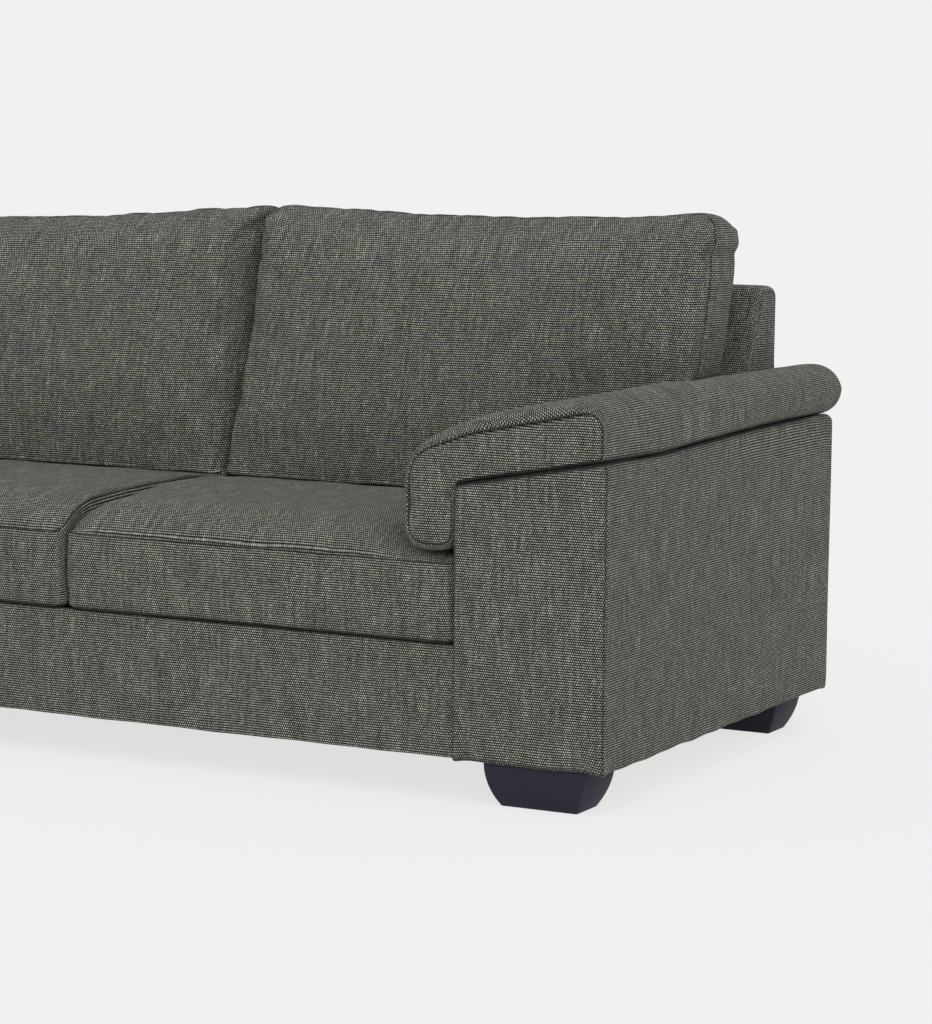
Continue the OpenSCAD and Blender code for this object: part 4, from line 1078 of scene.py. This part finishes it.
def back_section(x):
    """Corners of the cover's section, depth and height, at one place along it."""
    rise = smooth_step(x, arm_in - STEP_RUN, arm_in)
    foot = deck_foot_z + rise * (arm_top_z(max(x, arm_in)) + WING_GAP - deck_foot_z)
    y1 = rear_y - 2 * mm
    top = back_top + BACK_PLUMP
    return [(back_face_y(foot), foot, 3 * mm), (back_face_y(back_top), top, BACK_EDGE_R),
            (y1, top, BACK_REAR_R), (y1, foot, 3 * mm)]


def back_cover(x0):
    outline = Outline(back_section(x0), (0, 1, 2, 3), middle=16 * mm)
    r = BACK_EDGE_R
    inner = r + 8 * mm
    x1 = back_wing_x + BACK_WING_PLUMP
    # the stations crowd where the wing's foot steps up over the arm
    path = np.array([(x0, inner)] + bend((x0 + r, r), r, 180)
                    + bend((x1 - r, r), r, 270) + [(x1, inner)])
    total = run_of(path)[-1]
    seam = inner - BACK_SEAM_IN
    profile = Profile(path, [seam, total - seam], BACK_SEAM_DEPTH, middle=16 * mm)
    step = int(np.argmin(abs(profile.points[:, 0] - arm_in)))
    profile.points[step - 1, 0] = arm_in - STEP_RUN
    profile.points[step, 0] = arm_in + 0.5 * mm
    rings = []
    for x, q in profile.points:
        rings.append(np.insert(outline.at(q, back_section(x)), 0, x, 1))
    wing = outline.twin(back_section(x1))
    skin = Sewn(outline, rings, profile,
                (swollen(0, -BACK_END_SWELL), swollen(0, WING_END_SWELL)),
                flats=(outline, wing), own_run=len(outline.rows) - 1)
    points = skin.points
    clear = smooth_step(points[:, 2], WING_FOOT_Z, WING_FOOT_Z + 60 * mm)
    points += uneven(points, skin.faces, BACK_UNEVEN * clear, 150 * mm, 31)
    # painted shade along the seams
    return points, skin.faces, skin.cloth_map, BACK_SEAM_SHADE * skin.painted_shade


def outside_back(x0):
    edge, lip = PANEL_EDGE, PANEL_LIP
    left_x, right_x = x0 + lip, back_wing_x + BACK_WING_PLUMP - lip
    top = back_top + BACK_PLUMP - 3 * lip
    step_z = arm_top_z(arm_in) + WING_GAP + lip
    outline = Outline([(left_x, hem_z, 3 * mm), (left_x, top, 12 * mm), (right_x, top, 12 * mm),
                       (right_x, arm_top_z(right_x) + WING_GAP + lip, 3 * mm),
                       (arm_in - lip, step_z, 3 * mm), (arm_in - lip, hem_z, 3 * mm)],
                      (0, 1, 2, 5), middle=18 * mm)
    path = np.array([(rear_y - PANEL_T, 0)] + bend((rear_y - edge, edge), edge, 270)
                    + [(rear_y, edge + 1 * mm)])
    profile = Profile(path, [], middle=6 * mm, edge=3 * mm)
    rings = [np.insert(outline.at(q), 1, y, 1) for y, q in profile.points]
    skin = Sewn(outline, rings, profile, (None, swollen(1, PANEL_SWELL)))
    points = skin.points
    outer = smooth_step(points[:, 1], rear_y - 3 * mm, rear_y)
    points[:, 1] += outer * PANEL_UNEVEN * ripple(points, 220 * mm, 33)
    return points, skin.faces, skin.cloth_map, skin.painted_shade


deck_foot_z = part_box("sofa_back_cover")[0].z
for unit_name, x0 in (("sofa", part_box("sofa_back_cover")[0].x),
                      ("chaise", -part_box("chaise_back_cover")[1].x)):
    for made, part, old in ((back_cover(x0), "_back_upholstery", "_back_cover"),
                            (outside_back(x0), "_outside_back_panel", "_outside_back")):
        points, faces, cloth_map, painted_shade = made
        if unit_name == "chaise":
            points = points * (-1, 1, 1)
        piece = add_piece(unit_name + part, points, faces, weave, slot="body_fabric",
                          replaced=[unit_name + old], cloth_map=cloth_map, painted_shade=painted_shade)
        subdivide(piece)

# Seat cushions
# Loose boxed cushions: a foam core in a fibre wrap, the top panel crowned and sewn to the
# boxing along one seam. The sides under an arm pad are held down, the others stay level.
SEAM_Z = 403 * mm
SEAT_CROWN = 52 * mm
SEAT_HEART = 8 * mm
CROWN_RUN, HEART_RUN, HEART_END = 150 * mm, 265 * mm, 140 * mm
PRESSED_CROWN, PRESSED_RUN = 15 * mm, 45 * mm
REAR_FALL = 9.1 * mm
SEAT_TOP = SEAM_Z + SEAT_CROWN
SEAT_CORNER_R = 22 * mm
SEAT_FOOT_R = 13 * mm
SIDE_DRAW = 6 * mm
SEAT_BOW_R, SIDE_BOW = 2.0, 3 * mm
SEAM_LEVELS_FROM, SEAM_LEVELS_TO = 100 * mm, 330 * mm
PAD_REACH = 101.5 * mm
SEAT_REST_Y = 332 * mm
HEART_REST_Y = SEAT_REST_Y + 13 * mm
SEAT_SEAM_DEPTH, SEAT_SEAM_SHADE = 2.0 * mm, 0.7
SEAT_UNEVEN = 1.3 * mm
SEAT_CAP = 4 * mm


def seat_height(x, y, x0, x1, y0, pads):
    """Height of the top panel above its seam, if the seam stayed level."""
    deep = y - y0
    heart = (np.sin(np.pi / 2 * np.clip(deep / HEART_RUN, 0, 1))
             * np.sin(np.pi / 2 * np.clip((HEART_REST_Y - y) / HEART_END, 0, 1))) ** 2
    full = (SEAT_CROWN * (1 - np.clip(1 - deep / CROWN_RUN, 0, 1) ** 3.5) + SEAT_HEART * heart
            - REAR_FALL * np.clip((y - SEAT_REST_Y) / (SEAT_REAR_Y - SEAT_REST_Y), 0, 1))
    held = PRESSED_CROWN * (1 - np.clip(1 - deep / PRESSED_RUN, 0, 1) ** 2.2)
    free = np.ones_like(full)
    for padded_side, from_side in zip(pads, (x - x0, x1 - x)):
        if padded_side:
            free = free * (1 - np.clip(1 - (from_side - PAD_REACH) / CROWN_RUN, 0, 1) ** 2.2)
    return held + (np.maximum(full, held) - held) * free


def seam_drop(x, deep, x0, x1, drops):
    """How far the top seam lies below the crown: each side has its own drop, less at the rear."""
    third = (x1 - x0) / 3
    drop = drops[0] + (drops[1] - drops[0]) * smooth_step(x, x0 + third, x1 - third)
    return drop * (1 - 0.8 * smooth_step(deep, SEAM_LEVELS_FROM, SEAM_LEVELS_TO))


def seat_cushion(x0, x1, y0, pads, drops):
    mx, my = (x0 + x1) / 2, (y0 + SEAT_REAR_Y) / 2
    outline = Outline([(x0, y0, SEAT_CORNER_R), (x0 + SIDE_DRAW, my, SEAT_BOW_R),
                       (x0, SEAT_REAR_Y, SEAT_CORNER_R), (mx, SEAT_REAR_Y - 1 * mm, SEAT_BOW_R),
                       (x1, SEAT_REAR_Y, SEAT_CORNER_R), (x1 - SIDE_DRAW, my, SEAT_BOW_R),
                       (x1, y0, SEAT_CORNER_R), (mx, y0 + 3 * mm, SEAT_BOW_R)], (0, 2, 4, 6))
    r = SEAT_FOOT_R
    boxing = SEAM_Z - seat_z0
    path = np.array([(0, r + 6 * mm), (0, r)] + bend((r, r), r, 180)[1:]
                    + [(boxing, 0), (boxing + 3 * mm, 5 * mm)])
    top_seam = run_of(path)[-1] - np.hypot(3, 5) * mm
    profile = Profile(path, [6 * mm + np.pi * r / 4, top_seam], SEAT_SEAM_DEPTH)
    rings = []
    for z, q in profile.points:
        ring = outline.at(q)
        height = seat_height(ring[:, 0], ring[:, 1], x0, x1, y0, pads)
        drop = seam_drop(ring[:, 0], ring[:, 1] - y0, x0, x1, drops)
        seam = np.maximum(boxing, boxing + height - drop)
        bow = SIDE_BOW * np.sin(np.pi * np.clip(z / boxing, 0, 1))
        rings.append(np.column_stack([ring + bow * normals_of(ring), seat_z0 + z * seam / boxing]))

    def top(grid, u, v):
        x, y = grid[..., 0], grid[..., 1]
        height = seat_height(x, y, x0, x1, y0, pads)
        from_side = np.minimum(x - x0, x1 - x)
        drop = seam_drop(x, y - y0, x0, x1, drops)
        seam = np.maximum(0, height - drop)
        eased = 1 - np.clip(1 - from_side / (20 * mm + 3 * drop), 0, 1) ** 2.4
        grid[..., 2] = SEAM_Z + seam + (height - seam) * eased
        return grid

    skin = Sewn(outline, rings, profile, (None, top), upright=True)
    points = skin.points
    held = ((skin.painted_shade > 0) | (points[:, 2] < seat_z0 + SEAT_FOOT_R)
            | (points[:, 1] > SEAT_REST_Y + 60 * mm))
    level = points.copy()
    points += filled(points, skin.faces, held, SEAT_CAP)
    # the seat cushions press on each other, and the back cushions and pads on them
    room = SEAT_CAP * smooth_step(SEAT_REST_Y - level[:, 1], 0, 90 * mm)
    for padded_side, from_side in zip(pads, (level[:, 0] - x0, x1 - level[:, 0])):
        if padded_side:
            room = room * smooth_step(from_side, PAD_REACH, PAD_REACH + 60 * mm)
    points[:, 2] = np.minimum(points[:, 2], level[:, 2] + room)
    points[:, 0] = np.clip(points[:, 0], x0, x1)
    points[:, 1] = np.clip(points[:, 1], y0 - 3 * mm, SEAT_REAR_Y)
    soft = smooth_step(points[:, 2], seat_z0 + 20 * mm, seat_z0 + 60 * mm)
    points += uneven(points, skin.faces, SEAT_UNEVEN * soft, 150 * mm, 41)
    lean = np.clip((points[:, 1] - y0) / (SEAT_REAR_Y - y0), 0, 1) ** 4
    points[:, 1] += (points[:, 2] - seat_z0) * BACK_RAKE * lean
    # painted shade along the cushion's foot, where it rests on the deck, and along its seams
    under = 1 - smooth_step(points[:, 2], seat_z0 + 2 * mm, seat_z0 + 9 * mm)
    return points, skin.faces, skin.cloth_map, np.maximum(SEAT_SEAM_SHADE * skin.painted_shade, under)


seat_z0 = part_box("right_seat_cushion")[0].z
SEAT_REAR_Y = back_face_y(266 * mm) - 0.5 * mm
for which, pads, drops in (("right", (0, 1), (24 * mm, 10 * mm)),
                           ("middle", (0, 0), (10 * mm, 3 * mm)),
                           ("chaise", (1, 0), (10 * mm, 10 * mm))):
    low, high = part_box(which + "_seat_cushion")
    points, faces, cloth_map, painted_shade = seat_cushion(low.x, high.x, low.y, pads, drops)
    piece = add_piece(which + "_seat_cover", points, faces, weave, body=which + "_seat",
                      slot="cushion_fabric", replaced=[which + "_seat_cushion"],
                      cloth_map=cloth_map, painted_shade=painted_shade)
    subdivide(piece)

# Back cushions
# Loose cushions filled with fibre round a foam core: the front panel is wrapped over the edges
# and sewn to the boxing behind them. The outer two reach over the arm pad as a wing.
CUSHION_RAKE = np.tan(np.radians(15.4))
CUSHION_FOOT_Y = 357 * mm
CUSHION_TOP = 958 * mm
EAR_RISE = 14 * mm
SLUMP = 50 * mm
CUSHION_R = 26 * mm
CUSHION_HEEL_R = 9 * mm
EAR_R = 32 * mm
CUSHION_BOW_R, WING_BOW_R = 1.5, 0.6
WING_TIP_R, WING_CREST_R, WING_SHOULDER_R = 12 * mm, 160 * mm, 80 * mm
WRAP = 38 * mm
BOXING, BOXING_END_R, BOXING_END = 108 * mm, 10 * mm, 16 * mm
FRONT_CROWN = 42 * mm
CUSHION_CAP = 24 * mm
FOOT_HELD = 110 * mm
TOP_RISE = 2 * mm
REAR_SWELL = 130 * mm
TOP_FALL = 34 * mm
EAR_RUN, EAR_TOP_RUN = 90 * mm, 30 * mm
SLUMP_RUN, SLUMP_TOP_RUN = 290 * mm, 130 * mm
CUSHION_SEAM_DEPTH, CUSHION_SEAM_SHADE = 2.6 * mm, 0.8
CUSHION_UNEVEN = 1.5 * mm
LEFT_WRAP, TOP_WRAP, RIGHT_WRAP, FOOT_WRAP = 0.2, 1.0, 1.0, 0.15
ROUND_WRAP = 1.65
OVERLAP, OVERLAP_DEPTH = 13 * mm, 14 * mm
TUCK, TUCK_RUN = 28 * mm, 36 * mm
NOTCH_Z, NOTCH, NOTCH_HALF = 897 * mm, 4 * mm, 5 * mm
EAR_PLUMP, EAR_PLUMP_UP, EAR_PLUMP_HALF = 8 * mm, 17 * mm, 18 * mm
WING_PLUMP = 9 * mm
SIDE_BAND = 40 * mm


def cushion_face_y(z):
    return CUSHION_FOOT_Y + (z - SEAT_TOP) * CUSHION_RAKE


def cushion_corners(x0, x1, slump=0.0, winged=False):
    """Corners of the front's outline, and how far its panel wraps round the edge after each. The
    first, third, fifth and seventh are the cushion's four corners."""
    mx, mz = (x0 + x1) / 2, (cushion_z0 + CUSHION_TOP) / 2
    ear = CUSHION_TOP + EAR_RISE
    corners = [(x0, cushion_z0, CUSHION_HEEL_R), (x0 + SIDE_DRAW, mz, CUSHION_BOW_R),
               (x0, ear - slump, CUSHION_R), (mx, CUSHION_TOP - 0.3 * slump, CUSHION_BOW_R),
               (x1, ear, EAR_R if winged else CUSHION_R)]
    wraps = [LEFT_WRAP] * 2 + [TOP_WRAP] * 2 + [RIGHT_WRAP] * 2
    if not winged:
        wraps[4:6] = [ROUND_WRAP] * 2
        corners += [(x1 - SIDE_DRAW, mz, CUSHION_BOW_R), (x1, cushion_z0, CUSHION_HEEL_R)]
        return corners, wraps + [FOOT_WRAP]
    room = moved(pad_corners, PAD_CROWN + 1 * mm)
    inner_x, shoulder, crest, end = room[1][0], room[2], room[3], room[4]
    wing_z = crest[1] + (end[1] - crest[1]) / (end[0] - crest[0]) * (x1 - crest[0])
    corners += [(x1 - SIDE_DRAW, (wing_z + CUSHION_TOP) / 2, WING_BOW_R),
                (x1, wing_z, WING_TIP_R), (crest[0], crest[1], WING_CREST_R),
                (shoulder[0], shoulder[1], WING_SHOULDER_R),
                (inner_x, cushion_z0, CUSHION_HEEL_R)]
    return corners, wraps + [FOOT_WRAP] * 4


def sewn_cushion(corners, wraps, winged):
    """A back cushion's cover as it is sewn, and its outline."""
    near_x, free_x = corners[0][0], corners[4][0]
    outline = Outline(corners, (0, 2, 4, 6))
    facing = outline.twin(shares=wraps)
    wrap = facing.reach
    depth, inner, rear_r = WRAP + BOXING, WRAP + 8 * mm, BOXING_END_R
    path = np.array([(0, inner), (0, WRAP)] + bend((WRAP, WRAP), WRAP, 180)[1:]
                    + bend((depth - rear_r, rear_r), rear_r, 270) + [(depth, BOXING_END)])
    seam = inner - WRAP + np.pi * WRAP / 2
    rear_seam = run_of(path)[-1] - (BOXING_END - rear_r) - np.pi * rear_r / 4
    profile = Profile(path, [seam, rear_seam], CUSHION_SEAM_DEPTH)
    rings = []
    for deep, q in profile.points:
        if deep <= WRAP:
            at, y = facing.at(q), deep * wrap
        else:
            at = outline.at(q)
            y = WRAP * wrap + (deep - WRAP) * (depth - WRAP * wrap) / (depth - WRAP)
        x, z = at[:, 0], at[:, 1]
        # the top falls to the rear, later at an ear and at a slumped corner
        late = (smooth_step(x, free_x - EAR_RUN, free_x - EAR_TOP_RUN) if winged
                else 1 - smooth_step(x, near_x + SLUMP_TOP_RUN, near_x + SLUMP_RUN))
        z = z - TOP_FALL * (y / depth) ** (2 + 3 * late) * np.maximum(outline.out[:, 1], 0)
        rings.append(np.column_stack([x, cushion_face_y(z) + y, z]))

    def front(grid, u, v):
        puff = (1 - abs(2 * u - 1) ** 5) * (1 - abs(2 * v - 1) ** 5)
        crown = FRONT_CROWN - 0.8 * CUSHION_CAP
        grid[..., 1] = cushion_face_y(grid[..., 2]) - crown * puff
        return grid

    def rear(grid, u, v):
        puff = (1 - abs(2 * u - 1) ** 2.4) * (1 - abs(2 * v - 1) ** 2.4)
        grid[..., 1] += REAR_SWELL * puff
        return grid

    return Sewn(outline, rings, profile, (front, rear), flats=(facing, outline)), outline


def plump_side(points, free_x, wing_foot_z):
    """Swells the outer side: above the boxing's end the front panel closes on itself in a plump
    ear, and below it the wing bulges over the arm pad."""
    at_side = smooth_step(points[:, 0], free_x - SIDE_BAND, free_x - 5 * mm)
    above = points[:, 2] - NOTCH_Z
    low = np.clip((-2 * mm - above) / (NOTCH_Z - wing_foot_z), 0, 1)
    points[:, 0] += at_side * (
        EAR_PLUMP * np.exp(-((above - EAR_PLUMP_UP) / EAR_PLUMP_HALF) ** 2)
        + WING_PLUMP * np.sin(np.pi * low ** 0.6) - NOTCH * np.exp(-(above / NOTCH_HALF) ** 2))


def tuck_side(points, free_x):
    """Lays the right edge back behind the next cushion's."""
    at_edge = smooth_step(points[:, 0], free_x - TUCK_RUN, free_x)
    behind = points[:, 1] - cushion_face_y(points[:, 2])
    points[:, 1] += TUCK * at_edge * (1 - smooth_step(behind, 20 * mm, 100 * mm))


def back_cushion(corners, wraps, seed, winged=False, over=0.0):
    """A back cushion's cover, filled and pressed into its place. Its left edge reaches this far
    over the next cushion."""
    near_x, free_x = corners[0][0], corners[4][0]
    skin, outline = sewn_cushion(corners, wraps, winged)
    points = skin.points
    # the fibre presses the front and the free edges out, and the foot and the rear not
    foot = np.zeros(len(points), bool)
    foot[:skin.rings * skin.count] = np.tile(outline.out[:, 1] < -0.35, skin.rings)
    held = ((skin.painted_shade > 0) | foot
            | (points[:, 1] > cushion_face_y(points[:, 2]) + WRAP + BOXING - 8 * mm))
    level = points[:, 2].copy()
    risen = smooth_step(level, cushion_z0, cushion_z0 + FOOT_HELD)
    points += filled(points, skin.faces, held, CUSHION_CAP) * risen[:, None]
    points[:, 2] = np.minimum(points[:, 2], level + TOP_RISE)
    points += uneven(points, skin.faces, CUSHION_UNEVEN, 160 * mm, seed)
    if winged:
        plump_side(points, free_x, outline.ring[outline.ring[:, 0] > free_x - 20 * mm, 1].min())
    else:
        tuck_side(points, free_x)
    # the back frame and the seat press the cushion flat
    points[:, 1] = np.minimum(points[:, 1], back_face_y(points[:, 2]) - 0.6 * mm)
    points[:, 2] = np.maximum(points[:, 2], cushion_z0)
    behind = points[:, 1] - cushion_face_y(points[:, 2])
    reach = over * (1 - smooth_step(behind, 0, OVERLAP_DEPTH))
    points[:, 0] -= reach * (1 - smooth_step(points[:, 0] - near_x, 20 * mm, 90 * mm))
    points[:, 0] = np.maximum(points[:, 0], near_x - reach)
    if not winged:
        points[:, 0] = np.minimum(points[:, 0], free_x)
    # painted shade along the seams
    return points, skin.faces, skin.cloth_map, CUSHION_SEAM_SHADE * skin.painted_shade


cushion_z0 = SEAT_TOP + 0.5 * mm
for which, seed in (("right", 51), ("middle", 52), ("chaise", 53)):
    low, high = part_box(which + "_back_cushion")
    winged = which != "middle"
    x0, x1 = (-high.x, -low.x) if which == "chaise" else (low.x, high.x)
    points, faces, cloth_map, painted_shade = back_cushion(
        *cushion_corners(x0, x1, 0 if winged else SLUMP, winged), seed, winged,
        OVERLAP if which == "right" else 0.0)
    if which == "chaise":
        points = points * (-1, 1, 1)
    piece = add_piece(which + "_back_cushion_cover", points, faces, weave,
                      body=which + "_back", slot="cushion_fabric",
                      replaced=[which + "_back_cushion"], cloth_map=cloth_map, painted_shade=painted_shade)
    subdivide(piece)

# Studio
# A pale seamless floor, soft light from all round with a wide lamp above the right front, and
# the camera where the photograph was taken.
CAMERA_AT = (3.6366, -4.9010, 1.1263)
CAMERA_YAW, CAMERA_PITCH, CAMERA_ROLL = 27.46, -6.82, 0.66
LENS_MM, SENSOR_MM = 113.75, 36.0
camera_data = bpy.data.cameras.new("camera")
camera_data.lens, camera_data.sensor_width, camera_data.sensor_fit = LENS_MM, SENSOR_MM, "AUTO"
camera_data.clip_end = 200.0
camera = bpy.data.objects.new("camera", camera_data)
camera.location = CAMERA_AT
yaw, pitch, roll = np.radians([CAMERA_YAW, CAMERA_PITCH, CAMERA_ROLL])
turned, tilted, leaning = Euler((0, 0, yaw)), Euler((np.pi / 2 + pitch, 0, 0)), Euler((0, 0, roll))
camera.rotation_euler = (turned.to_matrix() @ tilted.to_matrix() @ leaning.to_matrix()).to_euler()
bpy.context.scene.collection.objects.link(camera)
bpy.context.scene.camera = camera

PAPER = 0.880
FLOOR_GLOW = 0.913
FLOOR_SIZE = 60.0
SHADOW_SHARE = 0.21
SKY_LEVEL = 0.62


def seen_directly(tree):
    """1 on rays from the camera, and on those that polished or clear surfaces send on."""
    path = node(tree, "LightPath")
    rays = maths(tree, "MAXIMUM", path.outputs["Is Camera Ray"], path.outputs["Is Glossy Ray"])
    return maths(tree, "MAXIMUM", rays, path.outputs["Is Transmission Ray"])


def studio_floor():
    material, tree, shader = new_material("studio_floor")
    shader.inputs["Base Color"].default_value = (PAPER, PAPER, PAPER, 1.0)
    shader.inputs["Roughness"].default_value = 1.0
    shader.inputs["Specular IOR Level"].default_value = 0.0
    plain = node(tree, "Emission")
    plain.inputs["Color"].default_value = (FLOOR_GLOW, FLOOR_GLOW, FLOOR_GLOW, 1.0)
    mix = node(tree, "MixShader")
    plug(tree, maths(tree, "MULTIPLY", seen_directly(tree), 1 - SHADOW_SHARE), mix.inputs[0])
    plug(tree, shader.outputs[0], mix.inputs[1])
    plug(tree, plain.outputs[0], mix.inputs[2])
    plug(tree, mix.outputs[0], tree.nodes["Material Output"].inputs["Surface"])
    return material


half = FLOOR_SIZE / 2
floor_mesh = bpy.data.meshes.new("floor")
floor_mesh.from_pydata([(-half, -half, 0), (half, -half, 0), (half, half, 0), (-half, half, 0)],
                       [], [(0, 1, 2, 3)])
floor_mesh.materials.append(studio_floor())
floor = bpy.data.objects.new("floor", floor_mesh)
bpy.context.scene.collection.objects.link(floor)

world = bpy.data.worlds.new("studio")
bpy.context.scene.world = world
world.use_nodes = True
sky = world.node_tree
sky.nodes["Background"].inputs["Color"].default_value = (1.0, 1.0, 1.0, 1.0)
sky.nodes["Background"].inputs["Strength"].default_value = SKY_LEVEL
backdrop = node(sky, "Background")
backdrop.inputs["Color"].default_value = (PAPER, PAPER, PAPER, 1.0)
choice = node(sky, "MixShader")
plug(sky, seen_directly(sky), choice.inputs[0])
plug(sky, sky.nodes["Background"].outputs[0], choice.inputs[1])
plug(sky, backdrop.outputs[0], choice.inputs[2])
plug(sky, choice.outputs[0], sky.nodes["World Output"].inputs["Surface"])

for name, energy, tilt, turn, width in (("key_lamp", 0.75, 42, 45, 50),
                                        ("fill_lamp", 0.5, 68, 10, 60)):
    light = bpy.data.lights.new(name, "SUN")
    light.energy, light.angle = energy, np.radians(width)
    lamp = bpy.data.objects.new(name, light)
    lamp.rotation_euler = Euler((np.radians(tilt), 0, np.radians(turn)))
    bpy.context.scene.collection.objects.link(lamp)

bpy.context.scene.view_settings.view_transform = "Standard"
